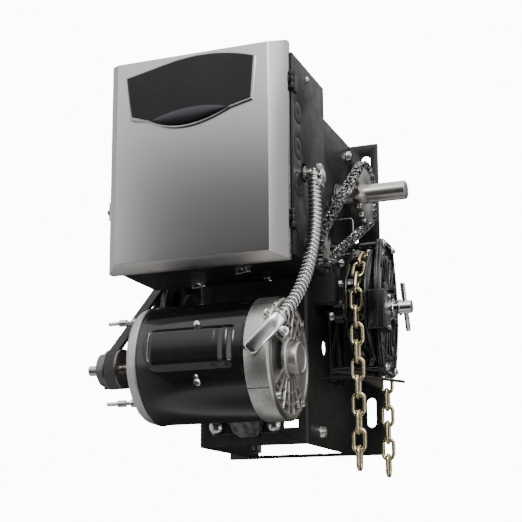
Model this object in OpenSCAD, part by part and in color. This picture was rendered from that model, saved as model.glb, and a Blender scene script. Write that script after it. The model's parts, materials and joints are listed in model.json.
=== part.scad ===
// Industrial door operator: a jackshaft drive that hangs on the wall beside a large door.
// A motor turns a V-belt, the belt turns a clutch shaft, a roller chain inside the frame turns
// the one inch output shaft, and a second chain turns the limit shaft in the control box.
// A hand chain over a pocket wheel on the clutch shaft moves the door without power.
// Millimetres. X runs right, Y runs back to the wall at Y = 0, Z runs up.
// The origin lies on the wall, on the centre of the four mounting slots.

/* [Frame] */
// Width of the frame channel over its walls
frame_w = 144; // [138:1:156]
// Depth of the frame channel from the wall to its web
frame_d = 206; // [200:1:214]
// Height of the frame channel
frame_h = 442; // [434:1:460]
// Thickness of the frame sheet
sheet_t = 3.2; // [2.6:0.1:3.6]
// Outer radius of the frame bends
bend_r = 5; // [4:0.5:7]
// Width of each wall flange
flange_w = 41; // [38:1:48]
// Width of a mounting slot
slot_w = 13; // [9:0.5:14]
// Length of a mounting slot
slot_l = 40; // [24:1:46]
// Distance from the flange edge to the slot centre
slot_in = 17.5; // [16:0.5:20]
// Height of the lower slot centres over the frame's foot
slot_h = 58; // [50:1:64]
// Height from the lower to the upper slot centres
slot_gap = 347; // [330:1:352]

/* [Control box] */
// Width of the control box
box_w = 233; // [226:1:238]
// Distance of the box centre left of the frame centre
box_left = 19; // [15:1:22]
// Depth of the control box
box_d = 122; // [116:1:130]
// Height of the control box
box_h = 244; // [238:1:250]
// Height of the box floor over the frame's foot
box_lift = 206; // [202:1:210]
// Thickness of the box sheet
box_t = 1.6; // [1.2:0.1:2]
// Width of the outward rim round the box mouth
box_rim = 6.5; // [5:0.5:7]
// Diameter of a knockout
knock_d = 28.6; // [22:0.2:30]
// Height of the lowest knockout over the box floor
knock_h = 86.6; // [80:0.2:92]
// Height from one knockout to the next
knock_gap = 44.4; // [40:0.2:48]
// Distance of the knockouts behind the box mouth
knock_in = 20; // [18:0.5:24]

/* [Cover] */
// Distance by which each cover side lies inside the box side
cover_in = 2; // [1.5:0.1:2.4]
// Distance by which the cover reaches below the box
cover_drop = 8.5; // [8.5:0.1:10]
// Distance by which the cover reaches above the box
cover_rise = 12; // [10:0.5:14]
// Depth of the straight lip round the cover
cover_lip = 9; // [8:0.5:12]
// Depth of the cover bevel
bevel_d = 19.2; // [15:0.2:22]
// Width of the side bevels
bevel_x = 17.2; // [14:0.2:20]
// Width of the top and bottom bevels
bevel_z = 7; // [5:0.5:10]
// Thickness of the cover sheet
cover_t = 1.5; // [1.2:0.1:1.8]

/* [Motor] */
// Radius of the motor shell
motor_r = 71; // [68:0.5:72]
// Length of the motor shell
motor_l = 133; // [126:1:140]
// Distance from the frame centre to the shell's right end
motor_x = 48; // [44:1:52]
// Distance of the motor axis in front of the wall
motor_y = 288; // [286:0.5:291]
// Height of the motor axis over the frame's foot
motor_h = 91.4; // [88:0.2:94]
// Thickness of the motor shell
shell_t = 2.6; // [2:0.1:3]
// Diameter of the motor shaft
motor_shaft_d = 12.7; // [11:0.1:14]
// Length of the right end bell
bell_l = 30; // [26:1:32]
// Length of the left end bell
bell_left_l = 14; // [12:0.5:16]

/* [Belt drive] */
// Distance of the belt centre left of the frame centre
belt_x = 145; // [143:0.5:147]
// Width of the belt over its back
belt_w = 12.7; // [11:0.1:13]
// Thickness of the belt
belt_t = 7.9; // [7:0.1:8.5]
// Radius of the belt's back on the motor pulley
belt_r1 = 24.4; // [23:0.1:26]
// Radius of the belt's back on the drive pulley
belt_r2 = 78; // [74:0.5:80]

/* [Shafts] */
// Diameter of the output shaft
out_d = 25.4; // [24:0.2:27]
// Distance of the output shaft in front of the wall
out_y = 70.7; // [69:0.1:73]
// Height of the output shaft over the frame's foot
out_h = 347.3; // [344:0.1:350]
// Distance from the frame centre to the output shaft's right end
out_x = 169.4; // [160:0.2:180]
// Diameter of the clutch shaft
clutch_d = 19; // [17:0.5:20]
// Radial clearance of a running fit
fit = 0.05; // [0.03:0.01:0.1]

/* [Roller chains] */
// Pitch of both roller chains
pitch = 12.7; // [12.6:0.05:12.8]
// Teeth of the output sprocket
out_teeth = 28; // [28]
// Teeth of the clutch shaft's sprocket
clutch_teeth = 10; // [10]
// Links of the drive chain
drive_links = 46; // [46]
// Direction from the output shaft to the clutch shaft, in degrees from straight back
drive_turn = 261.1; // [260:0.1:262]
// Distance of the drive chain right of the frame centre
drive_x = 22; // [14:1:30]
// Teeth of the limit drive sprocket
limit_teeth = 20; // [20]
// Teeth of the limit shaft's sprocket
small_teeth = 9; // [9]
// Links of the limit chain
limit_links = 50; // [50]
// Direction from the output shaft to the limit shaft, in degrees from straight back
limit_turn = 212.6; // [212:0.1:213]
// Distance of the limit chain right of the frame centre
limit_x = 112; // [110:0.5:113]

/* [Hand chain] */
// Pitch of a hand chain link
hand_pitch = 22; // [21.6:0.1:22.4]
// Diameter of the link wire
hand_wire = 5.2; // [4.8:0.1:5.4]
// Width of a link
hand_w = 19.6; // [19:0.1:20]
// Distance of the hand chain right of the frame centre
hand_x = 124; // [123:0.5:125]
// Links in each hanging strand
strand_links = 9; // [6:1:12]

/* [Conduit] */
// Outer radius of the flexible conduit
conduit_r = 8.2; // [7:0.1:8.6]
// Bore radius of the flexible conduit
conduit_bore = 5.6; // [5:0.1:6]
// Ribs along the conduit
conduit_ribs = 30; // [12:1:36]

/* [Hidden] */
$fn = 64;

// How far a cut runs past the face that it opens
over = 1;
// Air between pieces that must not touch
gap = 0.4;
half_w = frame_w / 2;
web_y = -frame_d;
slot_x = half_w + flange_w - slot_in;
base_z = -(slot_h + slot_gap / 2);

// Turns the drawing plane so that its x runs back, its y runs up and its z runs right
module across(x, y, z) translate([x, y, z]) rotate([90, 0, 90]) children();
// A round bar along X
module bar_x(x1, x2, y, z, d) across(x1, y, z) cylinder(h = x2 - x1, d = d);
// A round bar along Y
module bar_y(x, y1, y2, z, d) translate([x, y1, z]) rotate([-90, 0, 0]) cylinder(h = y2 - y1, d = d);
// A block between two corners
module block(a, b) translate(a) cube(b - a);
// A flat outline with straight sides and half round ends, along its x
module stadium(length, width) {
    square([length - width, width], center = true);
    for (s = [-1, 1]) translate([s * (length - width) / 2, 0]) circle(d = width);
}
// A rectangle about its centre with round corners
module round_rect(size, r) {
    square([size.x - 2 * r, size.y], center = true);
    square([size.x, size.y - 2 * r], center = true);
    for (i = [-1, 1], j = [-1, 1]) translate([i * (size.x / 2 - r), j * (size.y / 2 - r)]) circle(r);
}
// A hexagon head, its flat side on the drawing plane
module hex_head(across_flats, height) cylinder(h = height, d = across_flats / cos(30), $fn = 6);
// A round washer under a hexagon head, both standing on the drawing plane
washer_share = 0.18;
head_share = 0.65;
module bolt_head(thread_d) {
    cylinder(h = thread_d * washer_share, d = thread_d * 2);
    translate([0, 0, thread_d * washer_share]) hex_head(thread_d * 1.6, thread_d * head_share);
}

// Shaft places, worked out from the chain lengths
function arc_len(r, degrees) = r * degrees * PI / 180;
function lean(r1, r2, d) = asin((r1 - r2) / d);
function wrapped(r1, r2, a) = arc_len(r1, 180 + 2 * a) + arc_len(r2, 180 - 2 * a);
function settle(r1, r2, n, d, k) = k == 0 ? d :
    settle(r1, r2, n, (n * pitch - wrapped(r1, r2, lean(r1, r2, d))) / (2 * cos(lean(r1, r2, d))), k - 1);
function centre_distance(r1, r2, n) = settle(r1, r2, n, n * pitch / 2 - (r1 + r2) * PI / 2, 12);
function wheel_r(teeth) = teeth * pitch / (2 * PI);
out_r = wheel_r(out_teeth);
clutch_r = wheel_r(clutch_teeth);
limit_r = wheel_r(limit_teeth);
small_r = wheel_r(small_teeth);
drive_span = centre_distance(out_r, clutch_r, drive_links);
limit_span = centre_distance(limit_r, small_r, limit_links);
out_z = base_z + out_h;
clutch_y = -out_y + drive_span * cos(drive_turn);
clutch_z = out_z + drive_span * sin(drive_turn);
limit_y = -out_y + limit_span * cos(limit_turn);
limit_z = out_z + limit_span * sin(limit_turn);
motor_z = base_z + motor_h;
module at_output(x) across(x, -out_y, out_z) children();
module at_clutch(x) across(x, clutch_y, clutch_z) children();
module at_limit(x) across(x, limit_y, limit_z) children();
module at_motor(x) across(x, -motor_y, motor_z) children();

// Frame values
bearing_hole_d = 36;
window_w = 19;
window_h = 9.5;
window_x = 49.5;
window_z = 25.2;
wall_hole_d = 20;
wall_hole_y = 136;
wall_hole_h = 128;
bend_slot_h = 302;
bend_slot_w = 6;
bend_slot_l = 20;
motor_hole_gap = 76.5;
motor_hole_rise = 96;
motor_hole_x = 9.8;
motor_hole_h = 25.3;
carriage_d = 9.5;
hole_air = 0.6;
box_hole_d = 6;
box_hole_x = 52;
box_hole_in = 22;

// The bent sheet seen from above: web, two walls and two flanges
module channel_outline() {
    difference() {
        union() {
            translate([-half_w, web_y + bend_r]) square([frame_w, frame_d - bend_r]);
            translate([-half_w + bend_r, web_y]) square([frame_w - 2 * bend_r, bend_r]);
            for (s = [-1, 1]) translate([s * (half_w - bend_r), web_y + bend_r]) circle(bend_r);
            translate([-half_w - flange_w, -sheet_t]) square([frame_w + 2 * flange_w, sheet_t]);
        }
        difference() {
            translate([-half_w + sheet_t, web_y + sheet_t])
                square([frame_w - 2 * sheet_t, frame_d]);
            for (s = [-1, 1]) mirror([s < 0 ? 1 : 0, 0]) difference() {
                translate([half_w - bend_r, web_y + sheet_t]) square(bend_r - sheet_t);
                translate([half_w - bend_r, web_y + bend_r]) circle(bend_r - sheet_t);
            }
        }
        for (s = [-1, 1]) mirror([s < 0 ? 1 : 0, 0]) difference() {
            translate([half_w - sheet_t, -bend_r]) square(bend_r);
            translate([half_w - sheet_t + bend_r, -bend_r]) circle(bend_r);
        }
    }
}

module frame_channel() color([0.07, 0.07, 0.08]) difference() {
    translate([0, 0, base_z]) linear_extrude(frame_h) channel_outline();
    for (s = [-1, 1], z = [0, slot_gap])
        translate([s * slot_x, over, base_z + slot_h + z]) rotate([90, 90, 0])
            linear_extrude(sheet_t + 2 * over) stadium(slot_l, slot_w);
    for (s = [-1, 1]) bar_x(s < 0 ? -half_w - over : half_w - sheet_t - over,
        s < 0 ? -half_w + sheet_t + over : half_w + over, -out_y, out_z, bearing_hole_d);
    for (s = [-1, 1]) bar_x(s < 0 ? -half_w - over : half_w - sheet_t - over,
        s < 0 ? -half_w + sheet_t + over : half_w + over, clutch_y, clutch_z, bearing_hole_d);
    bar_x(-half_w - over, half_w + over, -wall_hole_y, base_z + wall_hole_h, wall_hole_d);
    block([window_x - window_w / 2, web_y - over, base_z + window_z - window_h / 2],
        [window_x + window_w / 2, web_y + sheet_t + over, base_z + window_z + window_h / 2]);
    for (s = [-1, 1]) translate([s * half_w, 0, base_z + bend_slot_h])
        cube([bend_slot_l, 2 * bend_r, bend_slot_w], center = true);
    for (i = [-1, 1], j = [0, 1])
        bar_y(-motor_hole_x + i * motor_hole_gap / 2, web_y - over, web_y + sheet_t + over,
            base_z + motor_hole_h + j * motor_hole_rise, carriage_d + hole_air);
    for (i = [-1, 1], z = [box_z0 + box_hole_in, box_z1 - box_hole_in])
        bar_y(i * box_hole_x, web_y - over, web_y + sheet_t + over, z, box_hole_d + hole_air);
}

// The tie across the open back at the foot
tie_d = 18;
tie_notch_w = 9;
tie_notch_d = 5;
tie_notch_x = 34;
module tie_plate() color([0.07, 0.07, 0.08]) difference() {
    block([-half_w + sheet_t, -tie_d - bend_r, base_z], [half_w - sheet_t, -bend_r, base_z + sheet_t]);
    for (s = [-1, 0, 1]) translate([s * tie_notch_x, -tie_d - bend_r, base_z])
        cube([tie_notch_w, 2 * tie_notch_d, 4 * sheet_t], center = true);
}

// The earth terminal inside the left wall
lug_w = 13;
lug_d = 16;
lug_h = 18;
lug_screw_d = 6;
lug_lift = 6;
module ground_lug() {
    x = -half_w + sheet_t;
    y = -tie_d - 2 * bend_r - lug_d;
    z = base_z + lug_lift;
    color([0.55, 0.56, 0.55]) difference() {
        block([x, y, z], [x + lug_w, y + lug_d, z + lug_h]);
        bar_y(x + lug_w / 2, y - over, y + lug_d + over, z + lug_h / 3, lug_screw_d);
    }
    color([0.75, 0.74, 0.7]) translate([x + lug_w / 2, y + lug_d / 2, z + lug_h]) {
        bolt_head(lug_screw_d);
        cylinder(h = 2 * lug_screw_d, d = lug_screw_d);
    }
}

// Hexagon bolts on the frame walls: bearing bolts, one near the top and one near the foot
bearing_bolt_r = 27;
bearing_bolt_turn = 35;
bearing_bolt_d = 6;
top_bolt_y = 18;
top_bolt_in = 20;
foot_bolt_y = 158;
foot_bolt_h = 18;
wall_bolt_d = 8;
module wall_bolt(s, y, z, lift, d) across(s * (half_w + lift), y, z)
    mirror([0, 0, s < 0 ? 1 : 0]) {
        bolt_head(d);
        cylinder(h = d * (head_share + washer_share * 2), d = d);
    }
// Places of four small bolts on the right wall, all but the last on the hoist plate
small_bolts = [[-78, 252], [-85, 221], [-126, 170], [-59, 267]];
module frame_bolts() color([0.62, 0.61, 0.58]) {
    for (i = [0:3]) wall_bolt(1, small_bolts[i].x, base_z + small_bolts[i].y, i < 3 ? hoist_t : 0,
        bearing_bolt_d);
    for (s = [-1, 1], a = [0, 180]) wall_bolt(s, -out_y + bearing_bolt_r * cos(a + bearing_bolt_turn),
        out_z + bearing_bolt_r * sin(a + bearing_bolt_turn), bearing_flange_t, bearing_bolt_d);
    for (a = [bearing_bolt_turn, bearing_bolt_turn + 180]) wall_bolt(-1, clutch_y + bearing_bolt_r * cos(a),
        clutch_z + bearing_bolt_r * sin(a), bearing_flange_t, bearing_bolt_d);
    for (s = [-1, 1]) {
        wall_bolt(s, -top_bolt_y, base_z + frame_h - top_bolt_in, 0, wall_bolt_d);
        wall_bolt(s, -foot_bolt_y, base_z + foot_bolt_h, 0, wall_bolt_d);
    }
}

// Control box values
box_y = web_y - box_d;
box_x0 = -box_left - box_w / 2;
box_x1 = -box_left + box_w / 2;
box_z0 = base_z + box_lift;
box_z1 = box_z0 + box_h;
knock_y = box_y + knock_in;
knock_groove = 0.9;
knock_dimple = 4;
port_d = 22;
conn_y = 286;
conn_h = 314;
limit_port_d = 28;

module knockout_ring(x, y, z) across(x - box_t / 2, y, z) {
    difference() {
        cylinder(h = box_t, d = knock_d);
        translate([0, 0, -over]) cylinder(h = box_t + 2 * over, d = knock_d - 2 * knock_groove);
    }
    cylinder(h = box_t, d = knock_dimple);
}

module control_box() color([0.09, 0.09, 0.10]) difference() {
    union() {
        block([box_x0, box_y, box_z0], [box_x1, web_y, box_z1]);
        block([box_x0 + cover_in + cover_t + gap, box_y - box_t, box_z0 - box_rim],
            [box_x1 - cover_in - cover_t - gap - box_t, box_y, box_z1 + box_rim]);
    }
    block([box_x0 + box_t, box_y - box_t - over, box_z0 + box_t],
        [box_x1 - box_t, web_y - box_t, box_z1 - box_t]);
    for (i = [0:2], s = [-1, 1])
        knockout_ring(s < 0 ? box_x0 : box_x1, knock_y, box_z0 + knock_h + i * knock_gap);
    bar_x(box_x1 - box_t - over, box_x1 + over, -conn_y, base_z + conn_h, port_d);
    bar_x(box_x1 - box_t - over, box_x1 + over, limit_y, limit_z, limit_port_d);
    for (i = [-1, 1], z = [box_z0 + box_hole_in, box_z1 - box_hole_in])
        bar_y(i * box_hole_x, web_y - box_t - over, web_y + over, z, box_hole_d + hole_air);
}

// Screws of the box: its mounting screws, a wall screw and three wire saddles under the floor
saddle_w = 23;
saddle_d = 3;
saddle_drop = 3.4;
saddle_t = 1.2;
// Place of each saddle across and along the box floor, and its turn in degrees
saddle_shares = [[-0.43, 0.07, -18], [0.27, 0.51, -23], [0.30, 0.05, 6]];
side_screw_d = 4.5;
side_screw_y = 272;
side_screw_h = 436;
button_share = 0.45;
module button_head(d) intersection() {
    translate([0, 0, -d * button_share * 1.4]) sphere(d = d * 2.4);
    cylinder(h = d, d = d * 1.9);
}
module box_screws() color([0.78, 0.77, 0.74]) {
    for (i = [-1, 1], z = [box_z0 + box_hole_in, box_z1 - box_hole_in]) {
        translate([i * box_hole_x, web_y - box_t, z]) rotate([90, 0, 0]) bolt_head(box_hole_d);
        bar_y(i * box_hole_x, web_y - box_t, web_y + 3 * sheet_t, z, box_hole_d);
    }
    across(box_x1, -side_screw_y, base_z + side_screw_h) button_head(side_screw_d);
    for (p = saddle_shares) translate([-box_left + p[0] * box_w / 2, web_y - p[1] * box_d, box_z0])
        rotate([180, 0, p[2]]) {
            difference() {
                translate([-saddle_w / 2, -saddle_d / 2, 0]) cube([saddle_w, saddle_d, saddle_drop]);
                translate([-saddle_w / 2 + saddle_d, -saddle_d, -over])
                    cube([saddle_w - 2 * saddle_d, 2 * saddle_d, saddle_drop - saddle_t + over]);
            }
            translate([saddle_w / 3, 2 * saddle_d, 0]) button_head(side_screw_d);
        }
}

// Hinges on the right edge of the box
hinge_h = [246, 414];
knuckle_r = 3;
knuckle_l = 7;
hinge_pin_d = 2.6;
leaf_t = 1.5;
leaf_l = 15;
shut_gap = 0.5;
hinge_x = box_x1 - cover_in + knuckle_r + gap;
hinge_y = box_y - knuckle_r - gap;
module knuckle(z1, z2) translate([hinge_x, hinge_y, z1]) cylinder(h = z2 - z1, r = knuckle_r);
module box_hinges() color([0.12, 0.12, 0.12]) for (h = hinge_h) {
    z = base_z + h;
    k = knuckle_l / 2;
    for (s = [-1, 1]) {
        z1 = z + (s < 0 ? -k - gap - knuckle_l : k + gap);
        knuckle(z1, z1 + knuckle_l);
        block([box_x1, hinge_y, z1], [box_x1 + leaf_t, box_y + leaf_l, z1 + knuckle_l]);
    }
    block([box_x1, box_y + 2 * leaf_t, z - k - gap - knuckle_l],
        [box_x1 + leaf_t, box_y + leaf_l, z + k + gap + knuckle_l]);
    translate([hinge_x, hinge_y, z - k - 2 * gap]) cylinder(h = 2 * k + 4 * gap, d = hinge_pin_d);
}

// Inside the control box
panel_t = 1.6;
panel_gap = 6;
panel_y = web_y - box_t - panel_gap;
panel_in = 14;
standoff_d = 7;
panel_lift = 34;
panel_z0 = limit_z + panel_lift;
module sub_panel() color([0.72, 0.73, 0.74]) {
    difference() {
        block([box_x0 + panel_in, panel_y - panel_t, panel_z0],
            [box_x1 - panel_in, panel_y, box_z1 - panel_in]);
        for (i = [-1, 1]) bar_y(i * box_hole_x, panel_y - panel_t - over, panel_y + over,
            box_z1 - box_hole_in, box_hole_d * 3);
    }
    for (x = [box_x0 + 2 * panel_in, box_x1 - 2 * panel_in],
        z = [panel_z0 + panel_in, box_z1 - 2 * panel_in])
        bar_y(x, panel_y, web_y - box_t, z, standoff_d);
}

board_t = 1.6;
board_size = [112, 138];
board_lift = 6;
board_x = -72;
board_rise = 12;
board_z = panel_z0 + board_rise;
board_y = panel_y - panel_t - board_lift;
chip_h = 9;
relay_h = 16;
relay_size = [15, 20];
plug_size = [70, 9];
module logic_board() {
    color([0.08, 0.30, 0.17]) {
        block([board_x - board_size.x / 2, board_y - board_t, board_z],
            [board_x + board_size.x / 2, board_y, board_z + board_size.y]);
        for (i = [-1, 1], z = [board_lift, board_size.y - board_lift])
            bar_y(board_x + i * (board_size.x / 2 - board_lift), board_y, panel_y - panel_t, board_z + z,
                board_lift);
    }
    color([0.1, 0.1, 0.1]) for (i = [0:3])
        translate([board_x - board_size.x / 2 + relay_size.x + i * relay_size.x * 1.5,
            board_y - board_t - relay_h, board_z + board_size.y * 0.7])
            cube([relay_size.x, relay_h, relay_size.y]);
    color([0.15, 0.15, 0.16]) block([board_x - relay_size.x, board_y - board_t - chip_h / 2,
        board_z + board_size.y * 0.38],
        [board_x + relay_size.x, board_y - board_t, board_z + board_size.y * 0.38 + relay_size.y]);
    color([0.15, 0.35, 0.2]) block([board_x - plug_size.x / 2, board_y - board_t - chip_h,
        board_z + board_lift],
        [board_x + plug_size.x / 2, board_y - board_t, board_z + board_lift + plug_size.y]);
}

trafo_size = [58, 44, 50];
trafo_x = 48;
trafo_drop = 84;
trafo_z = box_z1 - trafo_drop;
module transformer() {
    y = panel_y - panel_t;
    color([0.35, 0.34, 0.33]) difference() {
        block([trafo_x - trafo_size.x / 2, y - trafo_size.y, trafo_z],
            [trafo_x + trafo_size.x / 2, y, trafo_z + trafo_size.z]);
        for (s = [-1, 1]) translate([trafo_x + s * trafo_size.x / 2, y - trafo_size.y,
            trafo_z + trafo_size.z / 2])
            cube([trafo_size.x * 0.2, trafo_size.y, trafo_size.z * 2], center = true);
    }
    color([0.70, 0.42, 0.18]) for (s = [0, 1]) translate([trafo_x, y - trafo_size.y / 2,
        trafo_z + (s == 0 ? -trafo_size.z * 0.12 : trafo_size.z)])
        linear_extrude(trafo_size.z * 0.12)
            round_rect([trafo_size.x * 0.55, trafo_size.y * 0.7], trafo_size.y * 0.2);
}

contactor_size = [46, 42, 60];
contactor_x = 42;
contactor_rise = 10;
contactor_z = panel_z0 + contactor_rise;
module contactor() color([0.14, 0.14, 0.15]) {
    y = panel_y - panel_t;
    block([contactor_x - contactor_size.x / 2, y - contactor_size.y * 0.6, contactor_z],
        [contactor_x + contactor_size.x / 2, y, contactor_z + contactor_size.z]);
    block([contactor_x - contactor_size.x / 2, y - contactor_size.y, contactor_z + contactor_size.z * 0.25],
        [contactor_x + contactor_size.x / 2, y - contactor_size.y * 0.6,
            contactor_z + contactor_size.z * 0.75]);
}

strip_size = [96, 14, 16];
strip_x = -78;
strip_drop = 38;
strip_z = box_z1 - strip_drop;
strip_ways = 10;
module terminal_strip() color([0.12, 0.12, 0.13]) {
    y = panel_y - panel_t;
    x0 = strip_x - strip_size.x / 2;
    block([x0, y - strip_size.y * 0.6, strip_z], [x0 + strip_size.x, y, strip_z + strip_size.z]);
    for (i = [0:strip_ways]) translate([x0 + i * (strip_size.x - board_t) / strip_ways, y - strip_size.y,
        strip_z])
        cube([board_t, strip_size.y, strip_size.z]);
}

// Limit assembly: a threaded shaft with two nuts, its two bearing plates and three switches
limit_shaft_d = 12.7;
limit_thread_d = 12;
limit_plate_t = 2.5;
limit_plate_w = 34;
limit_plate_h = 44;
limit_x0 = -34;
limit_in = 9;
limit_x1 = box_x1 - limit_in;
limit_end = 5;
limit_foot = 14;
nut_d = 30;
nut_l = 12;
nut_x = [6, 58];
nut_notches = 16;
switch_size = [20, 7, 13];
switch_x = [-22, 76, 62];
retainer_t = 1.5;
module limit_bracket() color([0.70, 0.71, 0.72]) for (x = [limit_x0, limit_x1]) difference() {
    union() {
        block([x, limit_y - limit_plate_w / 2, box_z0 + box_t],
            [x + limit_plate_t, limit_y + limit_plate_w / 2, box_z0 + box_t + limit_plate_h]);
        block([x - limit_foot / 2, limit_y - limit_plate_w / 2, box_z0 + box_t],
            [x, limit_y + limit_plate_w / 2, box_z0 + box_t + limit_plate_t]);
    }
    bar_x(x - over, x + limit_plate_t + over, limit_y, limit_z, limit_shaft_d + 2 * fit);
}

module limit_switches() color([0.08, 0.08, 0.09]) for (x = switch_x) {
    z = box_z0 + box_t;
    y = limit_y - limit_plate_w / 2 - switch_size.y - (x == switch_x[2] ? switch_size.y + 2 * gap : gap);
    block([x - switch_size.x / 2, y, z], [x + switch_size.x / 2, y + switch_size.y, z + switch_size.z]);
    translate([x, y + switch_size.y / 2, z + switch_size.z]) linear_extrude(board_t)
        round_rect([switch_size.x * 0.9, switch_size.y * 0.5], board_t);
}

module nut_retainer() color([0.76, 0.76, 0.75]) difference() {
    z = limit_z + nut_d / 2 - retainer_t;
    y = limit_y + nut_d * 0.5 + gap;
    union() {
        block([limit_x0 + limit_plate_t, y, box_z0 + box_t],
            [limit_x1 - limit_foot, y + retainer_t, z + nut_l]);
        block([limit_x0 + limit_plate_t, y, box_z0 + box_t],
            [limit_x1 - limit_foot, y + limit_foot, box_z0 + box_t + retainer_t]);
    }
    for (i = [-1:2]) translate([(limit_x0 + limit_x1) / 2 + i * nut_d * 0.7, y, z - nut_d * 0.3])
        cube([nut_d * 0.35, 4 * retainer_t, nut_l * 2], center = true);
}

module limit_nut(x) color([0.93, 0.92, 0.86]) at_limit(x) difference() {
    cylinder(h = nut_l, d = nut_d);
    translate([0, 0, -over]) cylinder(h = nut_l + 2 * over, d = limit_thread_d + 2 * fit);
    for (i = [0:nut_notches - 1]) rotate([0, 0, i * 360 / nut_notches])
        translate([nut_d / 2, 0, -over]) cylinder(h = nut_l + 2 * over, d = nut_d * 0.09);
}
module close_nut() limit_nut(nut_x[0]);
module open_nut() limit_nut(nut_x[1]);

small_hub_d = 27;
small_hub_l = 6;
small_neck_d = 22;
small_neck_l = 5;
module limit_shaft() {
    color([0.66, 0.65, 0.62]) {
        at_limit(limit_x0 - limit_end) cylinder(h = limit_end + limit_plate_t + gap, d = limit_shaft_d);
        at_limit(limit_x0 + limit_plate_t + gap)
            cylinder(h = limit_x1 - limit_x0 - limit_plate_t - 2 * gap, d = limit_thread_d);
        at_limit(limit_x1 - gap) cylinder(h = limit_x + sprocket_t - limit_x1, d = limit_shaft_d);
    }
    color([0.48, 0.46, 0.43]) at_limit(limit_x - sprocket_t / 2) {
        sprocket(small_teeth, small_r, limit_shaft_d, limit_turn, 0);
        difference() {
            union() {
                translate([0, 0, -small_neck_l]) cylinder(h = small_neck_l, d = small_neck_d);
                translate([0, 0, -small_neck_l - small_hub_l]) cylinder(h = small_hub_l, d = small_hub_d);
            }
            translate([0, 0, -small_neck_l - small_hub_l - over])
                cylinder(h = small_hub_l + small_neck_l + 2 * over, d = limit_shaft_d);
        }
    }
}

// Roller chain values, in the proportions of the standard half inch narrow chain
roller_d = 7.77;
roller_w = 6.4;
pin_d = 3.6;
plate_t = 1.3;
plate_h = 9.6;
outer_h_share = 0.86;
chain_air = 0.15;
pin_head = 0.7;
sprocket_t = 5.7;
tooth_h = 3.7;
tooth_air = 0.4;
tooth_flare = 2.3;

// Where a pin lies at a distance s along the loop, from the far side of the first sprocket
function on_arc(c, r, a) = [c + r * cos(a), r * sin(a)];
function loop_at(s, r1, r2, d) =
    let (a = lean(r1, r2, d), q1 = arc_len(r1, 90 + a), q2 = arc_len(r2, 180 - 2 * a), line = d * cos(a),
        total = 2 * (q1 + line) + q2, t = s > total / 2 ? total - s : s, side = s > total / 2 ? -1 : 1,
        n = [sin(a), cos(a)],
        p = t < q1 ? on_arc(0, r1, 180 - t / r1 * 180 / PI)
            : t < q1 + line ? r1 * n + (t - q1) * [cos(a), -sin(a)]
            : on_arc(d, r2, 90 - a - (t - q1 - line) / r2 * 180 / PI))
    [p.x, side * p.y];

module link_plate(l, h) {
    linear_extrude(plate_t) {
        square([l, h * 0.8], center = true);
        for (s = [-1, 1]) translate([s * l / 2, 0]) circle(d = h);
    }
}
module inner_link(l) difference() {
    union() {
        for (z = [-roller_w / 2 - plate_t, roller_w / 2]) translate([0, 0, z]) link_plate(l, plate_h);
        for (s = [-1, 1]) translate([s * l / 2, 0, -roller_w / 2]) cylinder(h = roller_w, d = roller_d);
    }
    for (s = [-1, 1]) translate([s * l / 2, 0, -roller_w])
        cylinder(h = 2 * roller_w, d = pin_d + 2 * chain_air);
}
module outer_link(l) {
    half = roller_w / 2 + plate_t + chain_air;
    for (z = [-half - plate_t, half]) translate([0, 0, z]) link_plate(l, plate_h * outer_h_share);
    for (s = [-1, 1]) translate([s * l / 2, 0, -half - plate_t - pin_head])
        cylinder(h = 2 * (half + plate_t + pin_head), d = pin_d);
}
module roller_chain(r1, r2, d, n) for (i = [0:n - 1]) {
    a = loop_at(i * pitch, r1, r2, d);
    b = loop_at((i + 1) * pitch, r1, r2, d);
    translate((a + b) / 2) rotate([0, 0, atan2(b.y - a.y, b.x - a.x)])
        if (i % 2 == 0) inner_link(norm(b - a)); else outer_link(norm(b - a));
}

// A toothed disc whose first roller seat lies at the angle turn
module sprocket(teeth, r, bore, turn, relief) difference() {
    cylinder(h = sprocket_t, r = r + tooth_h);
    for (i = [0:teeth - 1]) rotate([0, 0, turn + i * 360 / teeth]) translate([r, 0, -over]) {
        cylinder(h = sprocket_t + 2 * over, r = roller_d / 2 + tooth_air);
        linear_extrude(sprocket_t + 2 * over) polygon([[0, -roller_d / 2 - tooth_air],
            [tooth_h + over, -roller_d / 2 - tooth_air - tooth_flare],
            [tooth_h + over, roller_d / 2 + tooth_air + tooth_flare], [0, roller_d / 2 + tooth_air]]);
    }
    translate([0, 0, -over]) cylinder(h = sprocket_t + 2 * over, d = bore);
    if (relief > 0) for (i = [0:4]) rotate([0, 0, i * 72]) translate([r * 0.62, 0, -over])
        cylinder(h = sprocket_t + 2 * over, r = relief);
}

module drive_chain() color([0.36, 0.34, 0.31]) at_output(drive_x) rotate([0, 0, drive_turn])
    roller_chain(out_r, clutch_r, drive_span, drive_links);
module limit_chain() color([0.36, 0.34, 0.31]) at_output(limit_x) rotate([0, 0, limit_turn])
    roller_chain(limit_r, small_r, limit_span, limit_links);

// Output shaft and what turns with it
out_x0 = -86;
out_l = out_x - out_x0;
// Free end, turned down from the bearing and sprocket seats
free_l = 54.6;
seat_step = 0.4;
seat_d = out_d + 2 * seat_step;
key_w = 6.35;
key_l = 46;
chamfer = 1.2;
collar_d = 42;
collar_w = 12;
hub_d = 44;
hub_l = 16;
module output_shaft() color([0.72, 0.70, 0.66]) {
    difference() {
        at_output(out_x0) rotate_extrude()
            polygon([[0, 0], [seat_d / 2 - chamfer, 0], [seat_d / 2, chamfer],
            [seat_d / 2, out_l - free_l], [out_d / 2, out_l - free_l], [out_d / 2, out_l - chamfer],
            [out_d / 2 - chamfer, out_l], [0, out_l]]);
        at_output(out_x - key_l) translate([-key_w / 2, out_d / 2 - key_w / 2, 0])
            cube([key_w, key_w, key_l + over]);
    }
}

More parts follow.
